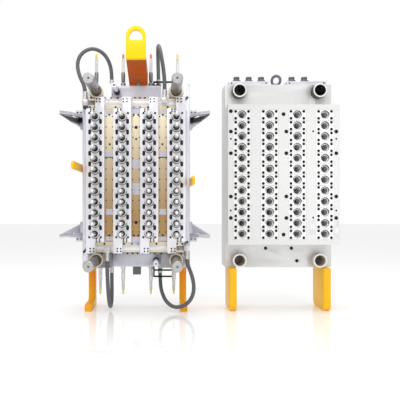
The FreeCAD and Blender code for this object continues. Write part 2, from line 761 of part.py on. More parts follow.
# Routes of the hoses: x from the middle of the core half, depth, height from the plates' middle.
# Each starts at its elbow on the stripper plate and ends at its fitting on the core plate.
UPPER_LEFT_ROUTE = (
    (-HOSE_OUTER_X, OUTER_HOSE_DEPTH, OUTER_HOSE_START),
    (-HOSE_OUTER_X, OUTER_HOSE_DEPTH, 462.0),
    (-298.0, 186.0, 522.0),
    (-312.0, 178.0, 590.0),
    (-290.0, 165.0, 650.0),
    (-234.0, 150.0, 681.0),
    (-178.0, 130.0, 661.0),
    (-146.0, 106.0, 612.0),
    (-137.0, SERVICE_DEPTH, 556.0),
    (-137.0, SERVICE_DEPTH, HOSE_PLATE_END),
)
UPPER_RIGHT_ROUTE = (
    (HOSE_INNER_X, INNER_HOSE_DEPTH, INNER_HOSE_START),
    (HOSE_INNER_X, INNER_HOSE_DEPTH, 486.0),
    (144.0, 214.0, 548.0),
    (134.0, 228.0, 606.0),
    (124.0, 216.0, 660.0),
    (116.0, 170.0, 690.0),
    (113.0, 117.0, 672.0),
    (114.0, SERVICE_DEPTH, 616.0),
    (116.0, SERVICE_DEPTH, 556.0),
    (116.0, SERVICE_DEPTH, HOSE_PLATE_END),
)
LOWER_LEFT_ROUTE = (
    (-HOSE_INNER_X, INNER_HOSE_DEPTH, -INNER_HOSE_START),
    (-HOSE_INNER_X, INNER_HOSE_DEPTH, -486.0),
    (-146.0, 214.0, -548.0),
    (-141.0, 228.0, -608.0),
    (-137.0, 216.0, -664.0),
    (-135.0, 170.0, -695.0),
    (-135.0, 117.0, -676.0),
    (-136.0, SERVICE_DEPTH, -618.0),
    (-137.0, SERVICE_DEPTH, -556.0),
    (-137.0, SERVICE_DEPTH, -HOSE_PLATE_END),
)
LOWER_RIGHT_ROUTE = (
    (HOSE_OUTER_X, OUTER_HOSE_DEPTH, -OUTER_HOSE_START),
    (HOSE_OUTER_X, OUTER_HOSE_DEPTH, -458.0),
    (294.0, 200.0, -524.0),
    (304.0, 214.0, -590.0),
    (287.0, 221.0, -646.0),
    (244.0, 221.0, -680.0),
    (196.0, 214.0, -686.0),
    (155.0, 184.0, -660.0),
    (131.0, 136.0, -612.0),
    (125.0, SERVICE_DEPTH, -556.0),
    (125.0, SERVICE_DEPTH, -HOSE_PLATE_END),
)
HOSE_ROUTES = {
    "hose_upper_left": UPPER_LEFT_ROUTE,
    "hose_upper_right": UPPER_RIGHT_ROUTE,
    "hose_lower_left": LOWER_LEFT_ROUTE,
    "hose_lower_right": LOWER_RIGHT_ROUTE,
}


def route_path(points):
    """Straight runs joined by tangent arcs, each as large as its two runs allow."""
    edges = []
    radii = []
    here = points[0]
    for before, corner, after in zip(points, points[1:], points[2:]):
        way_in = (corner - before).normalize()
        way_out = (after - corner).normalize()
        turn = way_in.getAngle(way_out)
        trim = HOSE_ARC_SHARE * min((corner - before).Length, (after - corner).Length)
        radii.append(trim / math.tan(turn / 2))
        start, end = corner - way_in * trim, corner + way_out * trim
        inward = (way_out - way_in).normalize()
        middle = corner + inward * (radii[-1] / math.cos(turn / 2) - radii[-1])
        edges.append(Part.LineSegment(here, start).toShape())
        edges.append(Part.Arc(start, middle, end).toShape())
        here = end
    edges.append(Part.LineSegment(here, points[-1]).toShape())
    return Part.Wire(edges), radii


def hose(name, route):
    """A hose along its route."""
    points = [point(CORE_X, *place) for place in route]
    path, radii = route_path(points)
    first_way = (points[1] - points[0]).normalize()
    outline = corner_ring(points[0], first_way, HOSE_RADIUS)
    section = Part.makePolygon(outline + outline[:1])
    tube = path.makePipeShell([section], True, False)
    expected = Part.Face(section).Area * path.Length
    print(
        f"{name}: length {path.Length:.0f}, volume ratio {tube.Volume / expected:.4f}, radii",
        " ".join(f"{r:.0f}" for r in radii),
    )
    return tube


def elbow(x, z, seat, end):
    """An elbow block standing at the depth seat, with its barb towards end: 1 up or -1 down."""
    half = ELBOW_SIZE / 2
    body = block(CORE_X, x - half, x + half, seat, seat + ELBOW_SIZE, z - half, z + half)
    way = UP if end > 0 else DOWN
    sections = [(0, ELBOW_BARB_RADIUS), (ELBOW_BARB_LENGTH, ELBOW_BARB_RADIUS)]
    barb = faceted_post(CORE_X, x, seat + half, z + end * half, sections, way)
    return body.fuse(barb)


def hose_elbows():
    return group(
        [
            elbow(-HOSE_OUTER_X, ELBOW_OUTER_Z, STRIPPER_FACE, 1),
            elbow(HOSE_INNER_X, ELBOW_INNER_Z, WEAR_FACE, 1),
            elbow(-HOSE_INNER_X, -ELBOW_INNER_Z, WEAR_FACE, -1),
            elbow(HOSE_OUTER_X, -ELBOW_OUTER_Z, STRIPPER_FACE, -1),
        ]
    )


def plate_fittings():
    """Straight fittings on the core plate's edges, one at the end of each hose."""
    sections = [(0, PLATE_FITTING_RADIUS), (PLATE_FITTING_LENGTH, PLATE_FITTING_RADIUS)]
    made = []
    for route in HOSE_ROUTES.values():
        x, depth, z = route[-1]
        way = UP if z > 0 else DOWN
        seat = TOP if z > 0 else -TOP
        made.append(faceted_post(CORE_X, x, depth, seat, sections, way))
    return group(made)


def hose_brackets():
    """Flat black loops beside the hoses, above and below the core plate."""
    x0, x1 = BRACKET_START, BRACKET_START + BRACKET_LENGTH
    front = BRACKET_BACK + BRACKET_DEPTH
    outer = 2 * BRACKET_BAR + BRACKET_OPENING
    upper = block(CORE_X, x0, x1, BRACKET_BACK, front, TOP, TOP + outer)
    gap_low, gap_high = TOP + BRACKET_BAR, TOP + BRACKET_BAR + BRACKET_OPENING
    upper = upper.cut(
        block(CORE_X, x0 + BRACKET_BAR, x1, BRACKET_BACK, front, gap_low, gap_high)
    )
    low = -TOP - LOWER_BRACKET_DROP
    stem = block(CORE_X, x0, x0 + BRACKET_BAR, BRACKET_BACK, front, low, -TOP)
    bars = [
        block(CORE_X, x0, x1, BRACKET_BACK, front, low, low + BRACKET_BAR),
        block(CORE_X, x0, x1, BRACKET_BACK, front, -TOP - 3 * BRACKET_BAR, -TOP - 2 * BRACKET_BAR),
    ]
    return group([upper, fused([stem] + bars)])


def sensor_box():
    width, depth, height = SENSOR_BOX
    front = SERVICE_DEPTH + depth / 2
    return block(CORE_X, -width / 2, width / 2, front - depth, front, -TOP - height, -TOP)


def hot_half_clamp_plate():
    """The back plate of the cavity half, with a shallow seat for the locating ring."""
    hole = faceted(CAVITY_X, 0, 0, [(0, SPRUE_RADIUS), (CAVITY_CLAMP_FACE, SPRUE_RADIUS)])
    relief_radius = LOCATING_RING_RADIUS + LOCATING_RING_SEAT_CLEARANCE
    relief = rod(CAVITY_X, 0, 0, 0, LOCATING_RING_RELIEF_DEPTH, relief_radius)
    seat = rod(CAVITY_X, 0, 0, 0, LOCATING_RING_SEAT_DEPTH, LOCATING_RING_FOOT_RADIUS)
    return less(plate(CAVITY_X, 0, CAVITY_CLAMP_FACE), [hole, relief, seat])


def locating_ring():
    """The ring that centres the half on its platen, let into the clamp plate."""
    rim = rod(CAVITY_X, 0, 0, -LOCATING_RING_PROUD, 0, LOCATING_RING_RADIUS)
    foot = rod(CAVITY_X, 0, 0, 0, LOCATING_RING_SEAT_DEPTH, LOCATING_RING_FOOT_RADIUS)
    hole = [(-LOCATING_RING_PROUD, SPRUE_RADIUS), (LOCATING_RING_SEAT_DEPTH, SPRUE_RADIUS)]
    return less(rim.fuse(foot), [faceted(CAVITY_X, 0, 0, hole)])


def sprue_bush():
    """The bush that the machine's nozzle seats in, with its seat and feed bore."""
    start = LOCATING_RING_SEAT_DEPTH
    body = faceted(CAVITY_X, 0, 0, [(start, SPRUE_RADIUS), (CAVITY_CLAMP_FACE, SPRUE_RADIUS)])
    bore = [
        (start, SPRUE_SEAT_RADIUS),
        (start + SPRUE_SEAT_DEPTH, SPRUE_BORE),
        (CAVITY_CLAMP_FACE, SPRUE_BORE),
    ]
    return less(body, [faceted(CAVITY_X, 0, 0, bore)])


def manifold_plate():
    holes = [
        rod(CAVITY_X, x, z, CAVITY_CLAMP_FACE, MANIFOLD_FACE, GUIDE_BUSH_RADIUS)
        for x, z in corners(PILLAR_X, PILLAR_Z)
    ]
    return less(plate(CAVITY_X, CAVITY_CLAMP_FACE, MANIFOLD_FACE), holes + [eye_shank()])


def guide_bushes():
    front = MANIFOLD_FACE + CAVITY_BUSH_PROUD
    return group(
        [
            bush(CAVITY_X, x, z, CAVITY_CLAMP_FACE, front, GUIDE_BUSH_RADIUS)
            for x, z in corners(PILLAR_X, PILLAR_Z)
        ]
    )


def cavity_plate():
    """The front plate of the cavity half, with a long window for each column of inserts."""
    half_length = ROWS * ROW_PITCH / 2
    windows = [
        block(
            CAVITY_X,
            x - INSERT_WIDTH / 2,
            x + INSERT_WIDTH / 2,
            MANIFOLD_FACE,
            CAVITY_FACE,
            -half_length,
            half_length,
        )
        for x in column_places()
    ]
    return less(plate(CAVITY_X, MANIFOLD_FACE, CAVITY_FACE, CAVITY_PLATE_HEIGHT), windows)


def cavity_inserts():
    """Cavity blocks stacked in the windows: a seat for the neck rings, then the preform's body."""
    half_width, half_pitch = INSERT_WIDTH / 2, ROW_PITCH / 2
    seat_back = CAVITY_FACE - RING_HEIGHT
    body_back = seat_back - (CORE_TIP - RING_FACE) - CAVITY_END_WALL
    body_corner = (CORE_TIP_RADIUS + PREFORM_WALL) * FLAT_TO_CORNER
    recess = [
        (body_back, body_corner),
        (seat_back, body_corner),
        (seat_back, RING_TOP_RADIUS + RING_SEAT_CLEARANCE),
        (CAVITY_FACE, RING_BASE_RADIUS + RING_SEAT_CLEARANCE),
    ]
    made = []
    for x in column_places():
        for z in row_places():
            x0, x1, z0, z1 = x - half_width, x + half_width, z - half_pitch, z + half_pitch
            insert = block(CAVITY_X, x0, x1, MANIFOLD_FACE, CAVITY_FACE, z0, z1)
            made.append(less(insert, [faceted(CAVITY_X, x, z, recess)]))
    return group(made)


def water_bars():
    """Water distribution bars on top of the manifold plate."""
    return group(
        [
            block(
                CAVITY_X,
                side * WATER_BAR_START,
                side * WATER_BAR_END,
                WATER_BAR_BACK,
                WATER_BAR_FRONT,
                TOP,
                TOP + WATER_BAR_HEIGHT,
            )
            for side in (-1, 1)
        ]
    )


def water_couplings():
    """Quick couplings on the water bars."""
    outside = [
        (0, COUPLING_BASE_RADIUS),
        (COUPLING_BASE_HEIGHT, COUPLING_BASE_RADIUS),
        (COUPLING_BASE_HEIGHT, COUPLING_HEAD_RADIUS),
        (COUPLING_HEIGHT, COUPLING_HEAD_RADIUS),
    ]
    bore = [(COUPLING_HEIGHT - COUPLING_BORE_DEPTH, COUPLING_BORE), (COUPLING_HEIGHT, COUPLING_BORE)]
    seat = TOP + WATER_BAR_HEIGHT
    made = []
    for x in COUPLING_PLACES:
        body = faceted_post(CAVITY_X, x, COUPLING_DEPTH, seat, outside)
        made.append(less(body, [faceted_post(CAVITY_X, x, COUPLING_DEPTH, seat, bore)]))
    return group(made)


def eye_shank():
    """The part of the lifting eye that sits in the manifold plate."""
    sections = [(0, EYE_SHANK_RADIUS), (EYE_SHANK_LENGTH, EYE_SHANK_RADIUS)]
    return faceted_post(CAVITY_X, 0, COUPLING_DEPTH, TOP, sections, DOWN)


def eye_bolt():
    """A lifting eye with its collar and shank."""
    foot = point(CAVITY_X, 0, COUPLING_DEPTH, TOP)
    sections = [(0, EYE_COLLAR_RADIUS), (EYE_COLLAR_HEIGHT, EYE_COLLAR_RADIUS)]
    collar = faceted_post(CAVITY_X, 0, COUPLING_DEPTH, TOP, sections)
    turned = math.radians(EYE_TURN_DEG)
    ring_axis = Vector(math.sin(turned), math.cos(turned), 0)
    rise = EYE_COLLAR_HEIGHT + (EYE_HOLE_RADIUS + EYE_RING_RADIUS) / 2
    start = foot + UP * rise - ring_axis * (EYE_RING_THICKNESS / 2)
    ring = Part.makeCylinder(EYE_RING_RADIUS, EYE_RING_THICKNESS, start, ring_axis)
    hole = Part.makeCylinder(EYE_HOLE_RADIUS, EYE_RING_THICKNESS, start, ring_axis)
    return less(fused([collar, eye_shank(), ring]), [hole])


def sub_parts():
    """Every sub-part by its name."""
    made = {
        "core_clamp_plate": core_clamp_plate(),
        "core_plate": core_plate(),
        "cores": cores(),
        "guide_pillars": guide_pillars(),
        "alignment_pins": alignment_pins(),
        "stripper_plate": stripper_plate(),
        "stripper_bushes": stripper_bushes(),
        "wear_strips": wear_strips(),
        "tie_bar_guides": tie_bar_guides(),
        "left_tie_bar": tie_bar(-1),
        "right_tie_bar": tie_bar(1),
        "left_slides": slides(-1),
        "right_slides": slides(1),
        "drive_arms": drive_arms(),
        "arm_blocks": arm_blocks(),
        "left_latch_strap": latch_strap(-1, STRAP_LEFT_Z),
        "right_latch_strap": latch_strap(1, STRAP_RIGHT_Z),
        "latch_bolts": latch_bolts(),
        "lifting_bridge": lifting_bridge(),
        "core_leg_left": core_leg(-1),
        "core_leg_right": core_leg(1),
        "water_nipples": water_nipples(),
        "nipple_sleeves": nipple_sleeves(),
        "nipple_caps": nipple_caps(),
        "hose_elbows": hose_elbows(),
        "plate_fittings": plate_fittings(),
        "hose_brackets": hose_brackets(),
        "sensor_box": sensor_box(),
        "hot_half_clamp_plate": hot_half_clamp_plate(),
        "locating_ring": locating_ring(),
        "sprue_bush": sprue_bush(),
        "manifold_plate": manifold_plate(),
        "guide_bushes": guide_bushes(),
        "cavity_plate": cavity_plate(),
        "cavity_inserts": cavity_inserts(),
        "water_bars": water_bars(),
        "water_couplings": water_couplings(),
        "eye_bolt": eye_bolt(),
        "cavity_leg_left": cavity_leg(-1),
        "cavity_leg_right": cavity_leg(1),
    }
    made["hoses"] = group([hose(name, route) for name, route in HOSE_ROUTES.items()])
    return made


os.makedirs("parts", exist_ok=True)
for node, shape in sub_parts().items():
    shape.exportStep(f"parts/{node}.step")
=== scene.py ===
"""Looks of a preform injection mould that stands open: core half on the left, cavity half on the right."""

from __future__ import annotations

import json
import logging
import math
from contextlib import contextmanager
from dataclasses import dataclass, field
from enum import Enum
from typing import Iterable, Iterator, Sequence

import bpy
from mathutils import Matrix, Vector

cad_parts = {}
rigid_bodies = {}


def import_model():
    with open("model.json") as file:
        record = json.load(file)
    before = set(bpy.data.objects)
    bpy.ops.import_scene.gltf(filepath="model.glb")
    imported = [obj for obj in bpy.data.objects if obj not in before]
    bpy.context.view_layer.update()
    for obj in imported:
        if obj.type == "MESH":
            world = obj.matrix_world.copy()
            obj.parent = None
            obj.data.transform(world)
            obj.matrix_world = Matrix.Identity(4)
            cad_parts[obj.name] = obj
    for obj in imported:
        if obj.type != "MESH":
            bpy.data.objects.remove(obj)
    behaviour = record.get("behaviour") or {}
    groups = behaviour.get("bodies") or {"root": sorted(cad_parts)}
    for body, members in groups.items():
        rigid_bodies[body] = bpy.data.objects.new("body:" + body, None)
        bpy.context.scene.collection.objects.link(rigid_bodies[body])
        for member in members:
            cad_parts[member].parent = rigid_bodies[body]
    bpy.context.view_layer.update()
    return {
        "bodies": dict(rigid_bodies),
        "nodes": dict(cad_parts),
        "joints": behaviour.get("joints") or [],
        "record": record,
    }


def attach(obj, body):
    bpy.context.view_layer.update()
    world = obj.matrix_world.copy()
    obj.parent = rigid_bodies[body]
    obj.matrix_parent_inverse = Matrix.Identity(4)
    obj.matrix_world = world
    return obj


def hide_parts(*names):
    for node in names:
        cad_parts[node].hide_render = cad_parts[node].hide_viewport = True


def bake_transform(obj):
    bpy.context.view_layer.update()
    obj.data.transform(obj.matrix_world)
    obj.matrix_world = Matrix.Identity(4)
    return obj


LOG = logging.getLogger("preform_mould")

# Lengths are in millimetres, depths run forwards from the clamping faces and z from the plates' middle.
METRES = 0.001
BACK_Y = 221.5
CENTRE_Z = 710.0
TOP = 485.0
SIDE = 282.5
PITCH = 55.0
ROWS = tuple(PITCH * (i - 5.5) for i in range(12))
COLUMNS = (-210.0, -70.0, 70.0, 210.0)
PILLAR_X = 210.0
PILLAR_Z = 445.0
CORE_FACE = 125.0
STRIPPER_FACE = 175.0
WEAR_FACE = 187.0
SLIDE_FACE = 222.0
CAVITY_FACE = 275.0
MANIFOLD_FACE = 150.0
ORIGIN = Vector((0.0, 0.0, 0.0))
FRONT = Vector((0.0, -1.0, 0.0))
UP = Vector((0.0, 0.0, 1.0))
DOWN = Vector((0.0, 0.0, -1.0))
RIGHT = Vector((1.0, 0.0, 0.0))
SIDES = {"left": -1, "right": 1}
CUT_MARGIN = 0.15
SHARP = math.radians(40.0)
FLAT = math.radians(1.0)
Piece = bpy.types.Object
Material = bpy.types.Material
Colour = tuple[float, float, float]
Profile = Sequence[tuple[float, float]]


class Half(Enum):
    """The two halves of the mould, by the x of their middles in millimetres."""

    CORE = -328.5
    CAVITY = 423.5

    def at(self, x: float, depth: float, z: float) -> Vector:
        """Gives the point x to the right of the half's middle, so deep and so high, in the object's frame."""
        return Vector((self.value + x, BACK_Y - depth, CENTRE_Z + z))

    def spots(self, places: Iterable[tuple[float, float]], depth: float) -> list[Vector]:
        """Gives the points at one depth for pairs of x and z."""
        return [self.at(x, depth, z) for x, z in places]


CORE, CAVITY = Half
GRID = [(x, z) for x in COLUMNS for z in ROWS]
CORNERS = [(x * PILLAR_X, z * PILLAR_Z) for x in (-1, 1) for z in (-1, 1)]


class Streak(Enum):
    """The direction of grinding or rolling marks, as the stretch of the pattern along x, y and z."""

    ALONG_X = (0.6, 14.0, 60.0)
    ALONG_Z = (60.0, 14.0, 0.6)
    ROUND = (14.0, 14.0, 14.0)


class Socket:
    """A shader value that can be used in plain arithmetic."""

    def __init__(self, tree: bpy.types.NodeTree, socket: bpy.types.NodeSocket) -> None:
        """Keeps the tree and the socket that gives the value."""
        self.tree = tree
        self.socket = socket

    def _maths(self, operation: str, first: Socket | float, second: Socket | float) -> Socket:
        """Adds a Math node.

        Args:
            operation: The node's operation.
            first: Its first value.
            second: Its second value.

        Returns:
            The node's result.
        """
        node = self.tree.nodes.new("ShaderNodeMath")
        node.operation = operation
        for slot, value in zip(node.inputs, (first, second)):
            plug(slot, value)
        return Socket(self.tree, node.outputs[0])

    def __add__(self, other: Socket | float) -> Socket:
        """Adds."""
        return self._maths("ADD", self, other)

    def __radd__(self, other: float) -> Socket:
        """Adds from the left."""
        return self._maths("ADD", other, self)

    def __sub__(self, other: Socket | float) -> Socket:
        """Subtracts."""
        return self._maths("SUBTRACT", self, other)

    def __rsub__(self, other: float) -> Socket:
        """Subtracts from a number."""
        return self._maths("SUBTRACT", other, self)

    def __mul__(self, other: Socket | float) -> Socket:
        """Multiplies."""
        return self._maths("MULTIPLY", self, other)

    def __rmul__(self, other: float) -> Socket:
        """Multiplies from the left."""
        return self._maths("MULTIPLY", other, self)

    def above(self, level: float, softness: float) -> Socket:
        """Gives a mask that rises from 0 to 1 over the softness and is half way at the level."""
        ramp = (self - (level - softness / 2)) * (1 / softness)
        return ramp._maths("MINIMUM", ramp._maths("MAXIMUM", ramp, 0.0), 1.0)


def plug(slot: bpy.types.NodeSocket, value: object) -> None:
    """Links a socket's value to a node's input, or sets the input to a plain value."""
    if isinstance(value, Socket):
        value.tree.links.new(value.socket, slot)
    else:
        slot.default_value = value


class Graph:
    """The node tree of one material."""

    def __init__(self, name: str) -> None:
        """Makes a material with nothing in it but its surface shader and output."""
        self.material = bpy.data.materials.new(name)
        self.material.use_nodes = True
        self.tree = self.material.node_tree
        self.shader = self.tree.nodes["Principled BSDF"]
        self.place = self.node("ShaderNodeTexCoord", {}, "Object")

    def node(
        self, kind: str, values: dict[str | int, object], output: str | int = 0, **settings: object
    ) -> Socket:
        """Adds any node but a Math one.

        Args:
            kind: The node's type.
            values: What goes into its sockets, by name or place.
            output: The name or place of the output that is wanted.
            **settings: Its properties, set before its sockets.

        Returns:
            That output.
        """
        node = self.tree.nodes.new(kind)
        for key, value in settings.items():
            setattr(node, key, value)
        for key, value in values.items():
            plug(node.inputs[key], value)
        return Socket(self.tree, node.outputs[output])

    def noise(self, scale: float, detail: float = 3.0, stretch: Sequence[float] = (1, 1, 1)) -> Socket:
        """Gives a noise of so many waves a metre, with finer layers and squeezed along x, y and z."""
        mapped = self.node("ShaderNodeMapping", {"Vector": self.place, "Scale": tuple(stretch)})
        return self.node("ShaderNodeTexNoise", {"Vector": mapped, "Scale": scale, "Detail": detail})

    def mix(self, factor: Socket, low: object, high: object) -> Socket:
        """Mixes two colours, with all of the first at 0 and all of the second at 1."""
        return self.node("ShaderNodeMix", {0: factor, 6: low, 7: high}, 2, data_type="RGBA")

    def bump(self, height: Socket, strength: float, distance: float) -> Socket:
        """Turns a height into a normal, with a relief as deep as the distance in metres."""
        values = {"Height": height, "Strength": strength, "Distance": distance}
        return self.node("ShaderNodeBump", values, "Normal")

    def feed(self, **inputs: object) -> None:
        """Gives the surface shader its values, with spaces in place of underscores in the names."""
        for key, value in inputs.items():
            plug(self.shader.inputs[key.replace("_", " ")], value)


def opaque(colour: Sequence[float], strength: float = 1.0) -> tuple[float, float, float, float]:
    """Gives what a colour socket takes for a colour times a strength."""
    return tuple(min(1.0, c * strength) for c in colour) + (1.0,)


@dataclass(frozen=True)
class Fade:
    """A change to another colour along one axis of the mould, between two places in metres."""

    axis: str
    start: float
    end: float
    colour: Colour

    def over(self, graph: Graph, colour: Socket) -> Socket:
        """Lays the other colour over a first one.

        Args:
            graph: The material's nodes.
            colour: The first colour.

        Returns:
            The colour with the change.
        """
        place = graph.node("ShaderNodeSeparateXYZ", {"Vector": graph.place}, self.axis)
        middle, width = (self.start + self.end) / 2, self.end - self.start
        return graph.mix(place.above(middle, width), colour, opaque(self.colour))


def fade_back(start: float, end: float, colour: Colour) -> Fade:
    """Gives a change along the depth, between two depths in millimetres."""
    return Fade("Y", (BACK_Y - start) * METRES, (BACK_Y - end) * METRES, colour)


@dataclass(frozen=True)
class Metal:
    """Machined metal: fine marks in one direction, faint stains and an uneven shine."""

    name: str
    colour: Colour
    marks: Streak
    metallic: float
    roughness: float
    contrast: float
    stain: Colour | None = None
    fades: tuple[Fade, ...] = ()

    def material(self) -> Material:
        """Builds the material."""
        graph = Graph(self.name)
        marks = graph.noise(9.0, 4.0, self.marks.value)
        clouds = graph.noise(7.0)
        low = opaque(self.colour, 1.0 - self.contrast)
        high = opaque(self.colour, 1.0 + self.contrast)
        colour = graph.mix((marks * 0.65 + clouds * 0.35).above(0.5, 0.45), low, high)
        if self.stain is not None:
            spots = graph.noise(22.0, 6.0).above(0.62, 0.16)
            colour = graph.mix(spots * 0.6, colour, opaque(self.stain))
        # The fades paint shade on most finishes that have them; on the bronze strips they also give the ends their
        # steel colour.
        for fade in self.fades:
            colour = fade.over(graph, colour)
        graph.feed(
            Base_Color=colour,
            Metallic=self.metallic,
            Roughness=self.roughness - 0.10 + marks * 0.12 + clouds * 0.08,
            Normal=graph.bump(marks, 0.10, 0.0002),
        )
        return graph.material


@dataclass(frozen=True)
class Paint:
    """Sprayed paint: a slight orange peel, rubbed patches and a few chips along what gets knocked."""

    name: str
    colour: Colour
    roughness: float
    grime: Colour = (0.35, 0.22, 0.08)
    wear: float = 0.35
    fades: tuple[Fade, ...] = ()

    def material(self) -> Material:
        """Builds the material."""
        graph = Graph(self.name)
        clouds = graph.noise(9.0, 4.0)
        peel = graph.noise(420.0, 2.0)
        chips = graph.noise(60.0, 8.0).above(0.70, 0.03)
        colour = graph.mix(clouds.above(0.5, 0.5), opaque(self.colour, 0.93), opaque(self.colour, 1.05))
        colour = graph.mix(clouds.above(0.66, 0.2) * self.wear, colour, opaque(self.grime))
        colour = graph.mix(chips * (self.wear * 1.4), colour, opaque((0.30, 0.28, 0.26)))
        # The fades paint shade on the legs and the lifting bridge.
        for fade in self.fades:
            colour = fade.over(graph, colour)
        graph.feed(
            Base_Color=colour,
            Roughness=self.roughness + clouds * 0.12 - 0.06 + chips * 0.2,
            Coat_Weight=0.05,
            Specular_IOR_Level=0.2,
            Normal=graph.bump(peel - chips * 0.6, 0.08, 0.0003),
        )
        return graph.material


@dataclass(frozen=True)
class Moulded:
    """Rubber or plastic: an even colour with a fine grain."""

    name: str
    colour: Colour
    roughness: float
    grain: float = 500.0
    clear: float = 0.0

    def material(self) -> Material:
        """Builds the material."""
        graph = Graph(self.name)
        clouds = graph.noise(16.0)
        grain = graph.noise(self.grain, 2.0)
        colour = graph.mix(clouds.above(0.5, 0.6), opaque(self.colour, 0.88), opaque(self.colour, 1.12))
        graph.feed(
            Base_Color=colour,
            Roughness=self.roughness + clouds * 0.12 - 0.06,
            Transmission_Weight=self.clear,
            Normal=graph.bump(grain, 0.12, 0.0002),
        )
        return graph.material


@dataclass(frozen=True)
class Studio:
    """The floor, the lights and the camera."""

    camera_x: float = -0.177
    camera_y: float = -2.60
    camera_z: float = 0.566
    sensor: float = 36.0
    picture_px: int = 400
    view_width: float = 2.068
    aside_px: float = 35.0
    horizon_px: float = 3.0
    ambient: float = 0.78
    target_z: float = 0.7

    def build(self) -> None:
        """Makes the set."""
        bpy.context.scene.view_settings.view_transform = "Standard"
        self._camera()
        self._floor()
        self._lights()

    def _camera(self) -> None:
        """Puts the camera where the photograph was taken from."""
        data = bpy.data.cameras.new("camera")
        camera = Bench.add("camera", data)
        camera.location = (self.camera_x, self.camera_y, self.camera_z)
        camera.rotation_euler = (math.radians(90), 0, 0)
        data.sensor_width = self.sensor
        data.lens = self.sensor * -self.camera_y / self.view_width
        data.shift_x = self.aside_px / self.picture_px
        data.shift_y = self.horizon_px / self.picture_px
        bpy.context.scene.camera = camera

    def _floor(self) -> None:
        """Makes a large pale floor."""
        Bench.start()
        bpy.ops.mesh.primitive_plane_add(size=16.0, location=(0, 3.0, 0))
        floor = bpy.context.object
        floor.name = "floor"
        graph = Graph("studio_floor")
        graph.feed(
            Base_Color=opaque((0.88, 0.88, 0.88)),
            Roughness=graph.noise(2.0) * 0.05 + 0.03,
            IOR=2.0,
            Emission_Color=opaque((1.0, 1.0, 1.0)),
            Emission_Strength=0.14,
        )
        floor.data.materials.append(graph.material)

    def _lights(self) -> None:
        """Makes a bright, even room with three soft lamps."""
        world = bpy.data.worlds.new("room")
        bpy.context.scene.world = world
        world.use_nodes = True
        tree = world.node_tree
        seen = Socket(tree, tree.nodes.new("ShaderNodeLightPath").outputs["Is Camera Ray"])
        background = tree.nodes["Background"]
        plug(background.inputs["Color"], (1.0, 1.0, 1.0, 1.0))
        plug(background.inputs["Strength"], seen * (1.0 - self.ambient) + self.ambient)
        lamps = (
            ("key", (-0.7, -2.1, 2.5), 13.0, 1.2),
            ("fill", (1.5, -2.6, 0.9), 11.0, 1.4),
            ("floor_wash", (0.0, -0.2, 3.8), 74.0, 3.0),
        )
        for name, place, power, size in lamps:
            data = bpy.data.lights.new(name, "AREA")
            data.energy = power
            data.size = size
            lamp = Bench.add(name, data)
            lamp.location = place
            lamp.rotation_euler = (UP * self.target_z - Vector(place)).to_track_quat("-Z", "Y").to_euler()


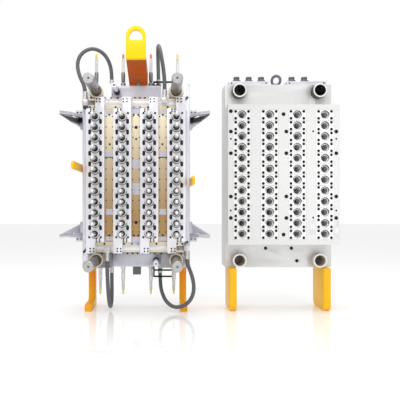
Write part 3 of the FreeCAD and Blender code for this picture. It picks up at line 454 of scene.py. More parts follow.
class Bench:
    """Shapes pieces in millimetres and hands them over in metres."""

    @staticmethod
    def add(name: str, data: bpy.types.ID) -> Piece:
        """Puts an object made of the data in the scene."""
        piece = bpy.data.objects.new(name, data)
        bpy.context.scene.collection.objects.link(piece)
        return piece

    @staticmethod
    def start() -> None:
        """Leaves nothing selected."""
        bpy.ops.object.select_all(action="DESELECT")

    @staticmethod
    def pick(piece: Piece) -> None:
        """Selects one piece alone and makes it the active one."""
        Bench.start()
        piece.select_set(True)
        bpy.context.view_layer.objects.active = piece

    @staticmethod
    @contextmanager
    def editing(piece: Piece) -> Iterator[None]:
        """Opens a piece with all of it selected, and closes it afterwards."""
        Bench.pick(piece)
        bpy.ops.object.mode_set(mode="EDIT")
        bpy.ops.mesh.select_all(action="SELECT")
        yield
        bpy.ops.object.mode_set(mode="OBJECT")

    @staticmethod
    def mend(piece: Piece, merge: float = 0.001) -> None:
        """Merges points that are nearer than the merge and turns all faces outwards."""
        with Bench.editing(piece):
            bpy.ops.mesh.remove_doubles(threshold=merge)
            bpy.ops.mesh.normals_make_consistent(inside=False)

    @staticmethod
    def modify(piece: Piece, kind: str, **settings: object) -> None:
        """Adds a modifier and applies it.

        Args:
            piece: The piece.
            kind: The modifier's type.
            **settings: Its properties.
        """
        Bench.pick(piece)
        modifier = piece.modifiers.new(kind.lower(), kind)
        for key, value in settings.items():
            setattr(modifier, key, value)
        bpy.ops.object.modifier_apply(modifier=modifier.name)

    @staticmethod
    def bevel(piece: Piece, width: float, segments: int = 2) -> None:
        """Rounds the sharp edges of a piece in a number of steps, with a width in millimetres."""
        Bench.modify(piece, "BEVEL", width=width, segments=segments, limit_method="ANGLE", angle_limit=SHARP)

    @staticmethod
    def cut(piece: Piece, cutters: list[Piece]) -> None:
        """Takes the cutters out of a piece and does away with them.

        Args:
            piece: The piece.
            cutters: What is cut away.
        """
        tool = Bench.join(cutters)
        Bench.modify(piece, "BOOLEAN", object=tool, operation="DIFFERENCE", solver="EXACT")
        bpy.data.objects.remove(tool, do_unlink=True)

    @staticmethod
    def join(pieces: list[Piece]) -> Piece:
        """Makes one piece of several.

        Args:
            pieces: The pieces.

        Returns:
            The joined piece.
        """
        Bench.start()
        for piece in pieces:
            piece.select_set(True)
        bpy.context.view_layer.objects.active = pieces[0]
        if len(pieces) > 1:
            bpy.ops.object.join()
        return pieces[0]

    @staticmethod
    def block(low: Vector, high: Vector) -> Piece:
        """Makes a box between two corners.

        Args:
            low: One corner.
            high: The opposite corner.

        Returns:
            The box.
        """
        Bench.start()
        bpy.ops.mesh.primitive_cube_add(size=1.0)
        box = bpy.context.object
        size = [abs(b - a) for a, b in zip(low, high)]
        box.data.transform(Matrix.Translation((low + high) / 2) @ Matrix.Diagonal(Vector(size + [1.0])))
        return box

    @staticmethod
    def turned(profile: Profile, foot: Vector, axis: Vector, steps: int = 32) -> Piece:
        """Turns a profile on a lathe.

        Args:
            profile: Radius and height of each corner, from the foot upwards; an end at radius 0 closes it.
            foot: Where height 0 is.
            axis: The direction of the heights.
            steps: The number of steps round the axis.

        Returns:
            The turned piece.
        """
        Bench.start()
        bpy.ops.mesh.primitive_plane_add(size=1.0)
        piece = bpy.context.object
        with Bench.editing(piece):
            bpy.ops.mesh.merge(type="CENTER")
            bpy.ops.transform.translate(value=(profile[0][0], 0, profile[0][1]))
            for (r0, h0), (r1, h1) in zip(profile, profile[1:]):
                move = {"value": (r1 - r0, 0, h1 - h0)}
                bpy.ops.mesh.extrude_region_move(TRANSFORM_OT_translate=move)
            bpy.ops.mesh.select_all(action="SELECT")
            bpy.ops.mesh.spin(steps=steps, angle=math.tau, center=(0, 0, 0), axis=(0, 0, 1))
        Bench.mend(piece)
        turn = UP.rotation_difference(axis).to_matrix().to_4x4()
        piece.data.transform(Matrix.Translation(foot) @ turn)
        return piece

    @staticmethod
    def keep(piece: Piece, way: Vector) -> None:
        """Cuts a piece near the origin, closes it and keeps the side that lies the given way."""
        with Bench.editing(piece):
            bpy.ops.mesh.bisect(plane_co=way * CUT_MARGIN, plane_no=way, use_fill=True, clear_inner=True)

    @staticmethod
    def prism(corners: Sequence[Vector], along: Vector) -> Piece:
        """Makes a plate from an outline.

        Args:
            corners: The outline's corners, in one plane.
            along: How far and which way the outline is drawn out.

        Returns:
            The plate.
        """
        mesh = bpy.data.meshes.new("outline")
        mesh.from_pydata([tuple(c) for c in corners], [], [tuple(range(len(corners)))])
        piece = Bench.add("outline", mesh)
        with Bench.editing(piece):
            bpy.ops.mesh.extrude_region_move(TRANSFORM_OT_translate={"value": tuple(along)})
            bpy.ops.mesh.select_all(action="SELECT")
            bpy.ops.mesh.normals_make_consistent(inside=False)
        return piece

    @staticmethod
    def oblong(foot: Vector, length: float, width: float, height: float) -> Piece:
        """Makes an upright slot with round ends, as a solid piece.

        Args:
            foot: The middle of its back end.
            length: How far it reaches forwards.
            width: Its width.
            height: Its height over all.

        Returns:
            The slot.
        """
        corners = []
        for end in (1, -1):
            for i in range(9):
                turn = math.pi * i / 8
                dx = end * math.cos(turn) * width / 2
                dz = end * (math.sin(turn) * width / 2 + (height - width) / 2)
                corners.append(Vector((foot.x + dx, foot.y, foot.z + dz)))
        return Bench.prism(corners, FRONT * length)

    @staticmethod
    def repeat(master: Piece, places: Iterable[Vector]) -> Piece:
        """Copies a piece to several places, joins the copies and does away with the piece.

        Args:
            master: The piece, made at the origin.
            places: Where the copies go.

        Returns:
            The joined copies.
        """
        copies = []
        for place in places:
            copy = Bench.add("copy", master.data.copy())
            copy.data.transform(Matrix.Translation(place))
            copies.append(copy)
        bpy.data.objects.remove(master, do_unlink=True)
        return Bench.join(copies)

    @staticmethod
    def of_node(node: str) -> Piece:
        """Gives a merged copy of a CAD node, in millimetres, with its flat faces whole.

        Args:
            node: The node's name.

        Returns:
            The copy.
        """
        copy = Bench.add(node + "_dressed", FRAME["nodes"][node].data.copy())
        copy.data.transform(Matrix.Scale(1 / METRES, 4))
        Bench.mend(copy, 0.01)
        with Bench.editing(copy):
            bpy.ops.mesh.dissolve_limited(angle_limit=FLAT)
        return copy


FRAME: dict[str, dict] = {}


def built(recipe: Metal | Paint | Moulded) -> Material:
    """Declares a finish, which is built along with the others."""
    return field(default_factory=recipe.material)


STEEL = (0.64, 0.64, 0.70)
INK = (0.010, 0.010, 0.012)
MIDDLE = CORE.value * METRES
# Painted shadow: the upper drive arms turn near black in a band round their undersides, and back to steel below
# it.
ARM_PAINTED_SHADOW = (Fade("Z", 1.0155, 1.0125, (0.05, 0.05, 0.052)), Fade("Z", 0.990, 0.978, STEEL))
# Painted shade: the core half's legs turn darker and redder towards the top, under the plates.
LEG_PAINTED_SHADE = (Fade("Z", 0.05, 0.24, (0.93, 0.24, 0.008)),)
# The bronze strips turn darker and browner towards the bottom, which is painted shade, and to steel at their ends,
# which is their own colour.
STRIP_ENDS_AND_PAINTED_SHADE = (
    Fade("Z", 1.02, 0.50, (0.50, 0.31, 0.13)),
    Fade("X", MIDDLE - 0.247, MIDDLE - 0.250, STEEL),
    Fade("X", MIDDLE + 0.247, MIDDLE + 0.250, STEEL),
)
# Painted shade: the pins finish is darker behind the pillars' end faces and turns near black towards their feet.
PILLAR_PAINTED_SHADE = (fade_back(454.4, 453.6, (0.30, 0.28, 0.27)), fade_back(400, 200, (0.10, 0.075, 0.055)))
# Painted shade: the upper bushes' sides are near black behind their front faces.
UPPER_BUSH_PAINTED_SHADE = (fade_back(199.4, 197.6, (0.035, 0.028, 0.022)),)
# Painted shade: the lower bushes' sides are a darker tan behind their front faces, a lit copy of the upper bushes'
# finish.
LOWER_BUSH_PAINTED_SHADE = (fade_back(199.4, 197.6, (0.62, 0.56, 0.49)),)
# Painted shade: the cores' shanks turn black behind their lit noses.
CORE_PAINTED_SHADE = (fade_back(312, 286, INK),)
# Painted shade: the lifting bridge turns orange-brown behind its front plate, along its underside.
BRIDGE_PAINTED_SHADE = (fade_back(344, 341, (0.50, 0.085, 0.0)),)
ROUND, ALONG_X, ALONG_Z = Streak.ROUND, Streak.ALONG_X, Streak.ALONG_Z


@dataclass(frozen=True)
class Finishes:
    """Every finish of the mould, built once."""

    plates: Material = built(Metal("ground_plate", STEEL, ALONG_X, 0.45, 0.42, 0.05, (0.54, 0.54, 0.59)))
    pale: Material = built(Metal("pale_plate", (0.68, 0.68, 0.675), ALONG_X, 0.35, 0.42, 0.04))
    slides: Material = built(Metal("bright_slide", (0.84, 0.84, 0.88), ALONG_Z, 0.45, 0.34, 0.04))
    inserts: Material = built(Metal("insert_steel", (0.78, 0.78, 0.775), ALONG_X, 0.35, 0.36, 0.04))
    cores: Material = built(Metal("polished_core_painted_shade", (0.82, 0.82, 0.84), ROUND, 0.60, 0.24, 0.04, None, CORE_PAINTED_SHADE))
    cups: Material = built(Metal("polished_cavity", (0.74, 0.74, 0.74), ROUND, 0.35, 0.45, 0.04))
    pins: Material = built(Metal("hardened_pin_painted_shade", (0.52, 0.51, 0.50), ROUND, 0.75, 0.30, 0.05, None, PILLAR_PAINTED_SHADE))
    bushes: Material = built(Metal("ground_bush_painted_shade", (0.85, 0.85, 0.85), ROUND, 0.40, 0.34, 0.04, None, UPPER_BUSH_PAINTED_SHADE))
    lit_bushes: Material = built(Metal("lit_bush", (0.85, 0.84, 0.80), ROUND, 0.20, 0.50, 0.04, None, LOWER_BUSH_PAINTED_SHADE))
    bronze: Material = built(
        Metal("sliding_bronze_painted_shade", (0.88, 0.80, 0.60), ALONG_Z, 0.30, 0.42, 0.06, None, STRIP_ENDS_AND_PAINTED_SHADE)
    )
    collars: Material = built(Metal("bronze_collar", (0.80, 0.71, 0.54), ROUND, 0.35, 0.42, 0.06))
    orange: Material = built(Paint("orange_paint", (0.95, 0.43, 0.010), 0.36, (0.75, 0.26, 0.01), 0.25, LEG_PAINTED_SHADE))
    amber: Material = built(Paint("amber_paint", (0.97, 0.53, 0.010), 0.36, (0.80, 0.34, 0.01), 0.25))
    arms: Material = built(Metal("arm_steel_painted_shadow", STEEL, ALONG_X, 0.45, 0.42, 0.06, None, ARM_PAINTED_SHADOW))
    yellow: Material = built(Paint("yellow_paint", (0.99, 0.66, 0.004), 0.34, (0.80, 0.36, 0.01), 0.2, BRIDGE_PAINTED_SHADE))
    hose: Material = built(Moulded("hose_rubber", (0.105, 0.11, 0.12), 0.50, 700.0))
    fittings: Material = built(Metal("plated_fitting", (0.62, 0.61, 0.60), ROUND, 0.55, 0.32, 0.10))
    bodies: Material = built(Metal("nipple_body", (0.24, 0.24, 0.25), ROUND, 0.45, 0.34, 0.12))
    couplings: Material = built(Metal("coupling_steel", (0.12, 0.13, 0.16), ROUND, 0.50, 0.30, 0.15))
    sleeves: Material = built(Moulded("milky_sleeve", (0.80, 0.81, 0.78), 0.30, 300.0, 0.25))
    red_cap: Material = built(Moulded("red_cap", (0.72, 0.10, 0.05), 0.36))
    yellow_cap: Material = built(Moulded("yellow_cap", (0.90, 0.62, 0.03), 0.36))
    green_cap: Material = built(Moulded("green_cap", (0.84, 0.84, 0.10), 0.36))
    screws: Material = built(Metal("blackened_screw", INK, ROUND, 0.1, 0.50, 0.15))
    black: Material = built(Paint("black_paint", INK, 0.45, (0.04, 0.04, 0.04), 0.2))
    box: Material = built(Paint("grey_green_paint", (0.13, 0.16, 0.14), 0.5))


@dataclass
class Assembly:
    """A sub-assembly, whose pieces go onto its body where nothing else is said."""

    look: Finishes
    body: str = "mould_base"

    def hand_over(
        self,
        piece: Piece,
        name: str,
        material: Material,
        slot: str,
        replaces: Sequence[str] = (),
        smooth: float = 35.0,
        body: str = "",
    ) -> None:
        """Turns a finished piece to metres, gives it its finish and puts it on its body.

        Args:
            piece: The piece, in millimetres.
            name: Its name.
            material: Its finish.
            slot: The record's slot that the finish belongs to; not used.
            replaces: The CAD nodes that it stands for.
            smooth: The turn in degrees below which faces are shaded as one.
            body: The CAD body that it moves with, or nothing for the sub-assembly's own.
        """
        piece.name = name
        piece.data.name = name
        piece.data.transform(Matrix.Scale(METRES, 4))
        piece.data.materials.clear()
        piece.data.materials.append(material)
        Bench.pick(piece)
        bpy.ops.object.shade_smooth_by_angle(angle=math.radians(smooth))
        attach(piece, body or self.body)
        if replaces:
            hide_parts(*replaces)
        LOG.info("%s rides on %s, %d faces", name, body or self.body, len(piece.data.polygons))

    def dress(self, node: str, material: Material, slot: str, bevel: float, body: str = "") -> None:
        """Stands a copy of a CAD node with rounded edges in its place.

        Args:
            node: The node.
            material: Its finish.
            slot: The finish's slot.
            bevel: The width of the rounded edges in millimetres.
            body: Its body, or nothing for the sub-assembly's own.
        """
        piece = Bench.of_node(node)
        Bench.bevel(piece, bevel)
        self.hand_over(piece, node + "_dressed", material, slot, [node], body=body)

    def lathe(
        self,
        name: str,
        profile: Profile,
        places: Iterable[Vector],
        material: Material,
        slot: str,
        replaces: Sequence[str] = (),
        way: Vector = FRONT,
        steps: int = 32,
        smooth: float = 35.0,
        sides: Sequence[Vector] = (),
        body: str = "",
    ) -> None:
        """Turns a part, copies it to its places and hands over the whole.

        Args:
            name: The name of the whole.
            profile: Radius and height of each corner.
            places: Where the parts go.
            material: Their finish.
            slot: The finish's slot.
            replaces: The CAD nodes that they stand for.
            way: The way that they point.
            steps: The number of steps round them.
            smooth: The turn in degrees below which faces are shaded as one.
            sides: The ways from the axis to what is kept of them, or nothing for all of it.
            body: Their body, or nothing for the sub-assembly's own.
        """
        part = Bench.turned(profile, ORIGIN, way, steps)
        for side in sides:
            Bench.keep(part, side)
        self.hand_over(Bench.repeat(part, places), name, material, slot, replaces, smooth, body)

    def screws(
        self,
        name: str,
        places: Iterable[Vector],
        radius: float,
        height: float,
        way: Vector = FRONT,
        body: str = "",
    ) -> None:
        """Puts socket head screws on a face.

        Args:
            name: The name of the whole.
            places: Where the heads sit.
            radius: The heads' radius.
            height: How far they stand out.
            way: The way that they face.
            body: What they are screwed to, or nothing for the sub-assembly's own body.
        """
        socket, floor, edge = radius * 0.52, height * 0.25, height * 0.8
        head = [(0, 0), (radius, 0), (radius, edge), (radius * 0.86, height), (socket, height), (socket, floor)]
        head.append((0, floor))
        self.lathe(name, head, places, self.look.screws, "pin_steel", way=way, steps=12, smooth=30.0, body=body)


@dataclass
class CoreStack(Assembly):
    """The cores, the slides and the neck rings that close round them."""

    bar_width: float = 47.0
    running_gap: float = 0.4
    short_end: float = 345.0
    long_end: float = 405.0
    bore: float = 14.0
    hole_foot: float = 180.0
    relief: float = 26.0
    relief_foot: float = 38.0
    pocket_x: float = 28.0
    pocket_rise: float = 30.5
    pocket_floor: float = SLIDE_FACE - 12.0
    nose_foot: float = 199.0
    nose_height: float = 12.9
    nose_radius: float = 10.4
    ring = (
        (14.0, -20), (23.8, -20), (23.8, 0.4), (21.5, 0.8), (21.3, 3.0), (19.6, 3.6), (18.2, 11.2), (17.8, 12.0),
        (16.6, 12.0), (16.3, 11.4), (14.0, -12.0), (14.0, -20),
    )
    # A black cone in each ring's bore, painted shade.
    shade_liner = ((13.9, -12.4), (14.3, -12.4), (16.5, 11.2), (16.1, 11.2), (13.9, -12.4))
    # A black arc along each ring's lower outer edge, painted shadow.
    shadow_arc = ((21.9, -1.0), (24.5, -1.0), (24.5, 0.7), (23.6, 1.2), (21.9, 1.2), (21.9, -1.0))

    def build(self) -> None:
        """Makes all the pieces."""
        self._cores()
        for word in SIDES:
            self._slides(word)
            self._rings(word)

    def _cores(self) -> None:
        """Makes the cores with their domed noses; their finish paints shade on their shanks."""
        profile = [(0, 0), (13, 0), (12.6, 100), (12.2, 101), (12.2, 108), (11.4, 110)]
        profile.append((self.nose_radius, self.nose_foot))
        for turn in (math.radians(15 * i) for i in range(1, 6)):
            height = self.nose_foot + self.nose_height * math.sin(turn)
            profile.append((self.nose_radius * math.cos(turn), height))
        profile.append((0, self.nose_foot + self.nose_height))
        places = CORE.spots(GRID, CORE_FACE)
        self.lathe("core_pins", profile, places, self.look.cores, "core_steel", ["cores"], steps=24)

    def _slides(self, word: str) -> None:
        """Makes the slides of one side with their pockets and screws.

        Args:
            word: Which side it is.
        """
        body, side = "slides_" + word, SIDES[word]
        low, high = (-self.long_end, self.short_end) if side < 0 else (-self.short_end, self.long_end)
        foot, mouth = self.relief_foot, SLIDE_FACE + 18 - self.hole_foot
        hole = [(0, 0), (self.bore, 0), (self.bore, foot), (self.relief, foot), (self.relief, mouth), (0, mouth)]
        bars: list[Piece] = []
        pockets: list[tuple[float, float]] = []
        for column in COLUMNS:
            start = CORE.at(column, WEAR_FACE + self.running_gap, low)
            bar = Bench.block(start, CORE.at(column + side * self.bar_width, SLIDE_FACE, high))
            Bench.bevel(bar, 1.2)
            own = [(column + side * self.pocket_x, z + self.pocket_rise) for z in ROWS[:-1]]
            cutters = [Bench.turned(hole, CORE.at(column, self.hole_foot, z), FRONT) for z in ROWS]
            for place in CORE.spots(own, self.pocket_floor):
                cutters.append(Bench.oblong(place, length=17, width=15, height=27))
            Bench.cut(bar, cutters)
            bars.append(bar)
            pockets += own
        name, nodes = word + "_slide_bars", [word + "_slides"]
        self.hand_over(Bench.join(bars), name, self.look.slides, "slide_steel", nodes, 30.0, body)
        pairs = CORE.spots([(x, z + dz) for x, z in pockets for dz in (6.2, -6.2)], self.pocket_floor + 8)
        self.screws(word + "_pocket_screws", pairs, 5.6, 2.6, body=body)
        key = Bench.oblong(FRONT * (self.pocket_floor + 0.2), length=8.4, width=14.6, height=26.6)
        Bench.bevel(key, 0.5, 1)
        keys = Bench.repeat(key, CORE.spots(pockets, 0))
        self.hand_over(keys, word + "_pocket_keys", self.look.screws, "pin_steel", smooth=30.0, body=body)
        ends = [(x, z) for x in (7, 25) for z in (self.long_end - 11, self.long_end - 25)]
        ends += [(x, -z) for x in (7, 23) for z in (330, 340.5)]
        dots = [(c + side * x, side * z) for c in COLUMNS for x, z in ends]
        self.screws(word + "_end_screws", CORE.spots(dots, SLIDE_FACE), 4.4, 0.8, body=body)
        lone = [(c + side * 30, z) for c in COLUMNS for z in (-321, 321)]
        self.screws(word + "_lone_screws", CORE.spots(lone, SLIDE_FACE), 6.0, 0.9, body=body)
        self.dress(word + "_tie_bar", self.look.slides, "slide_steel", 1.0, body)

    def _rings(self, word: str) -> None:
        """Makes the neck ring halves of one side, with black cones of painted shade in their bores and black arcs
        of painted shadow on their lower edges.

        Args:
            word: Which side it is.
        """
        body, way = "slides_" + word, RIGHT * SIDES[word]
        parts = (
            ("_neck_rings", self.ring, self.look.inserts, [way]),
            ("_ring_shade_liners", self.shade_liner, self.look.screws, [way]),
            ("_ring_shadow_arcs", self.shadow_arc, self.look.black, [way, DOWN]),
        )
        places = CORE.spots(GRID, SLIDE_FACE)
        for ending, profile, material, sides in parts:
            name = word + ending
            self.lathe(name, profile, places, material, "slide_steel", smooth=28.0, sides=sides, body=body)


@dataclass
class StripperGroup(Assembly):
    """The stripper plate and what is bolted to it."""

    body: str = "stripper"
    flush: float = 0.22
    slots = ((-268, 356, 1), (262, 404, -1), (-268, -393, -1), (262, -341, 1))
    lean: float = math.radians(42)
    bush = (
        (27.3, -50), (36.5, -50), (36.8, 0), (37, 0), (37, 6.5), (35.5, 8), (29.5, 8), (27.3, 5.5), (27.3, -50),
    )

    def build(self) -> None:
        """Makes all the pieces."""
        plate = Bench.of_node("stripper_plate")
        cutters = []
        to_middle = Matrix.Translation(-CORE.at(0, 0, 0))
        for x, z, way in self.slots:
            slot = Bench.oblong(CORE.at(0, 150, 0), length=30, width=12, height=34)
            turn = Matrix.Rotation(-self.lean * way, 4, "Y")
            slot.data.transform(Matrix.Translation(CORE.at(x, 0, z)) @ turn @ to_middle)
            cutters.append(slot)
        Bench.cut(plate, cutters)
        Bench.bevel(plate, 1.4)
        self.hand_over(plate, "stripper_dressed", self.look.plates, "plate_steel", ["stripper_plate"], 30.0)
        places = CORE.spots(CORNERS, STRIPPER_FACE)
        self.lathe("bronze_bushes", self.bush, places, self.look.collars, "bronze", ["stripper_bushes"], steps=48)
        self.dress("wear_strips", self.look.bronze, "bronze", 0.8)
        self.dress("tie_bar_guides", self.look.collars, "bronze", 0.8)
        self._strip_screws()
        self.dress("drive_arms", self.look.arms, "plate_steel", 1.5)
        self.dress("arm_blocks", self.look.pale, "plate_steel", 1.5)
        self._arm_screws()
        self.dress("hose_elbows", self.look.fittings, "fitting_steel", 1.5)

    def _strip_screws(self) -> None:
        """Puts the screws and pads on the bronze strips and guides."""
        holes = [(x, z) for x in (-140, 140, -12, 12) for z in (318, -314)] + [(-138, 164), (138, 164), (0, 191)]
        pins = [(x + dx, z + 7) for x in (-140, 0, 140) for dx in (-17, 17) for z in ROWS]
        guides = [(end * x, end * 358.0) for end in (-1, 1) for x in (-242, -214, -107, -10, 21, 63, 166)]
        rows = (
            ("strip_screws", holes, 5.8),
            ("strip_plugs", [(0, -246), (0, 252)], 9.0),
            ("strip_pins", pins, 3.4),
            ("guide_screws", guides, 5.6),
        )
        for name, places, radius in rows:
            self.screws(name, CORE.spots(places, WEAR_FACE), radius, self.flush)
        row = (-238, -165, -131, -97, -33, -7, 19, 46, 107, 141, 178, 240)
        rim = [(end * x, end * 408.5) for end in (-1, 1) for x in row]
        self.screws("rim_screws", CORE.spots(rim, STRIPPER_FACE), 5.2, 0.8)
        ends = ((-140, 331, 40, 22), (0, 336, 44, 30), (140, 331, 40, 22), (0, 358, 44, 18))
        inner = ((-140, 112, 30), (140, 112, 30), (0, 60, 46), (0, -70, 60), (-140, -190, 30), (140, -190, 30))
        pads = [(x, end * z, width, height) for end in (-1, 1) for x, z, width, height in ends]
        pads += [(x, z, 38, height) for x, z, height in inner]
        self._pads("strip_pads", pads, 0.2, self.look.plates, "slide_steel")
        self._pads("strip_stops", [(x, 95.5, 44, 5) for x in (-140, 140)], 0.25, self.look.screws, "pin_steel")

    def _pads(
        self, name: str, rows: Iterable[Sequence[float]], thickness: float, material: Material, slot: str
    ) -> None:
        """Lays thin pads on the bronze strips.

        Args:
            name: The name of the whole.
            rows: Each pad's x, z, width and height.
            thickness: How far they stand out.
            material: Their finish.
            slot: The finish's slot.
        """
        pads = []
        for x, z, width, height in rows:
            low = CORE.at(x - width / 2, WEAR_FACE, z - height / 2)
            pads.append(Bench.block(low, CORE.at(x + width / 2, WEAR_FACE + thickness, z + height / 2)))
        piece = Bench.join(pads)
        Bench.bevel(piece, 0.1, 1)
        self.hand_over(piece, name, material, slot)

    def _arm_screws(self) -> None:
        """Puts the screws on the drive arms and their blocks."""
        for word, side in SIDES.items():
            x = side * (SIDE + 12)
            flange = [CORE.at(x, d, end * (282 + dz)) for end in (-1, 1) for d in (136, 164) for dz in (-16, 4)]
            self.screws(word + "_arm_screws", flange, 5.0, 4.0, RIGHT * side)
            blocks = [(side * (SIDE + x), end * 334) for end in (-1, 1) for x in (10, 28)]
            self.screws(word + "_block_screws", CORE.spots(blocks, 165), 4.0, 2.0)


@dataclass
class CoreBase(Assembly):
    """The fixed plates of the core half with pillars, legs and services."""

    service_depth: float = 92.0
    pillar_foot: float = 60.0
    pillar = (
        (0, 0), (27, 0), (27, 220), (26.4, 221), (26.4, 225), (27, 226), (27, 391.5), (24.2, 395),
        (5.2, 395), (4.0, 393.5), (4.0, 381), (0, 379),
    )
    shaft = ((0, 50), (13.4, 50), (13.4, 162.5), (12.2, 164.5), (7.0, 164.5), (6.4, 163), (6.4, 140), (0, 138))
    # Black collars round the alignment pins' feet, painted shadow.
    collar = ((0, 0), (16, 0), (16, 64), (15, 66), (13.6, 66), (0, 60))
    nut = ((0, 0), (13, 0), (14, 1), (14, 20), (13, 21.5), (0, 21.5))
    stem_top = 79.0
    stem = (
        (0, 21), (8, 21), (8, 28), (11, 29.5), (11, 34), (10, 35), (10, 38), (11, 39),
        (11, 70), (10.4, 72), (10.4, 76), (9, stem_top), (0, stem_top),
    )

    def build(self) -> None:
        """Makes all the pieces."""
        for node in ("core_clamp_plate", "core_plate"):
            self.dress(node, self.look.plates, "plate_steel", 1.5)
        self._pillars()
        for node in ("core_leg_left", "core_leg_right"):
            self.dress(node, self.look.orange, "orange_paint", 2.5)
        self.dress("lifting_bridge", self.look.yellow, "yellow_paint", 3.0)
        bolts = [CORE.at(9 + side * 36, depth, TOP + 20) for side in (-1, 1) for depth in (28, 46)]
        self.screws("bridge_bolts", bolts, 9.0, 9.0, UP)
        for word in SIDES:
            self.dress(word + "_latch_strap", self.look.amber, "orange_paint", 2.0, "strap_" + word)
        self.dress("latch_bolts", self.look.fittings, "fitting_steel", 1.2)
        yellow, red, green = self.look.yellow_cap, self.look.red_cap, self.look.green_cap
        self._service("upper", UP, 220.0, 75.0, self.look.bodies, (yellow, red))
        self._service("lower", DOWN, 199.0, 50.0, self.look.inserts, (green, green))
        self.dress("plate_fittings", self.look.fittings, "fitting_steel", 1.0)
        self.dress("hose_brackets", self.look.black, "black_steel", 1.0)
        self.dress("sensor_box", self.look.box, "box_paint", 2.0)

    def _pillars(self) -> None:
        """Makes the guide pillars and the two alignment pins, with a black collar of painted shadow round each
        pin's foot.
        """
        places = CORE.spots(CORNERS, self.pillar_foot)
        self.lathe("pillar_shafts", self.pillar, places, self.look.pins, "pin_steel", ["guide_pillars"], steps=56)
        places = CORE.spots([(-105, 450), (105, -450)], CORE_FACE)
        parts = (("shafts", self.shaft, self.look.slides), ("collars", self.collar, self.look.screws))
        for word, profile, material in parts:
            self.lathe("alignment_" + word, profile, places, material, "pin_steel", ["alignment_pins"], steps=40)

    def _service(
        self, word: str, way: Vector, outer: float, sleeve: float, bodies: Material, caps: Sequence[Material]
    ) -> None:
        """Makes the nipples of one edge with their sleeves and caps.

        Args:
            word: Which edge it is.
            way: The way that they point.
            outer: The distance of the outer two from the half's middle.
            sleeve: The length of the sleeves.
            bodies: The nipples' finish.
            caps: The finishes of the outer and the inner caps.
        """
        feet = [CORE.at(x, self.service_depth, TOP * way.z) for x in (-outer, -75.0, 75.0, outer)]
        nut = Bench.turned(self.nut, ORIGIN, way, 6)
        Bench.bevel(nut, 0.8)
        nipple = Bench.join([nut, Bench.turned(self.stem, ORIGIN, way, 28)])
        self.hand_over(Bench.repeat(nipple, feet), word + "_nipples", bodies, "fitting_steel", ["water_nipples"])
        foot, top = self.stem_top, self.stem_top + sleeve
        profile = [(0, foot), (9, foot), (9, 82), (8.2, 84), (8.2, top - 4), (7.4, top), (0, top)]
        name, nodes = word + "_sleeves", ["nipple_sleeves"]
        self.lathe(name, profile, feet, self.look.sleeves, "clear_plastic", nodes, way, 24)
        cap = ((0, 0), (6.5, 0), (6.5, 5), (5.4, 7), (5.4, 21), (3.5, 24), (0, 24))
        profile = [(radius, top + height) for radius, height in cap]
        pairs = (("outer", feet[::3], caps[0]), ("inner", feet[1:3], caps[1]))
        for which, places, material in pairs:
            self.lathe(f"{word}_{which}_caps", profile, places, material, "cap_plastic", ["nipple_caps"], way, 20)


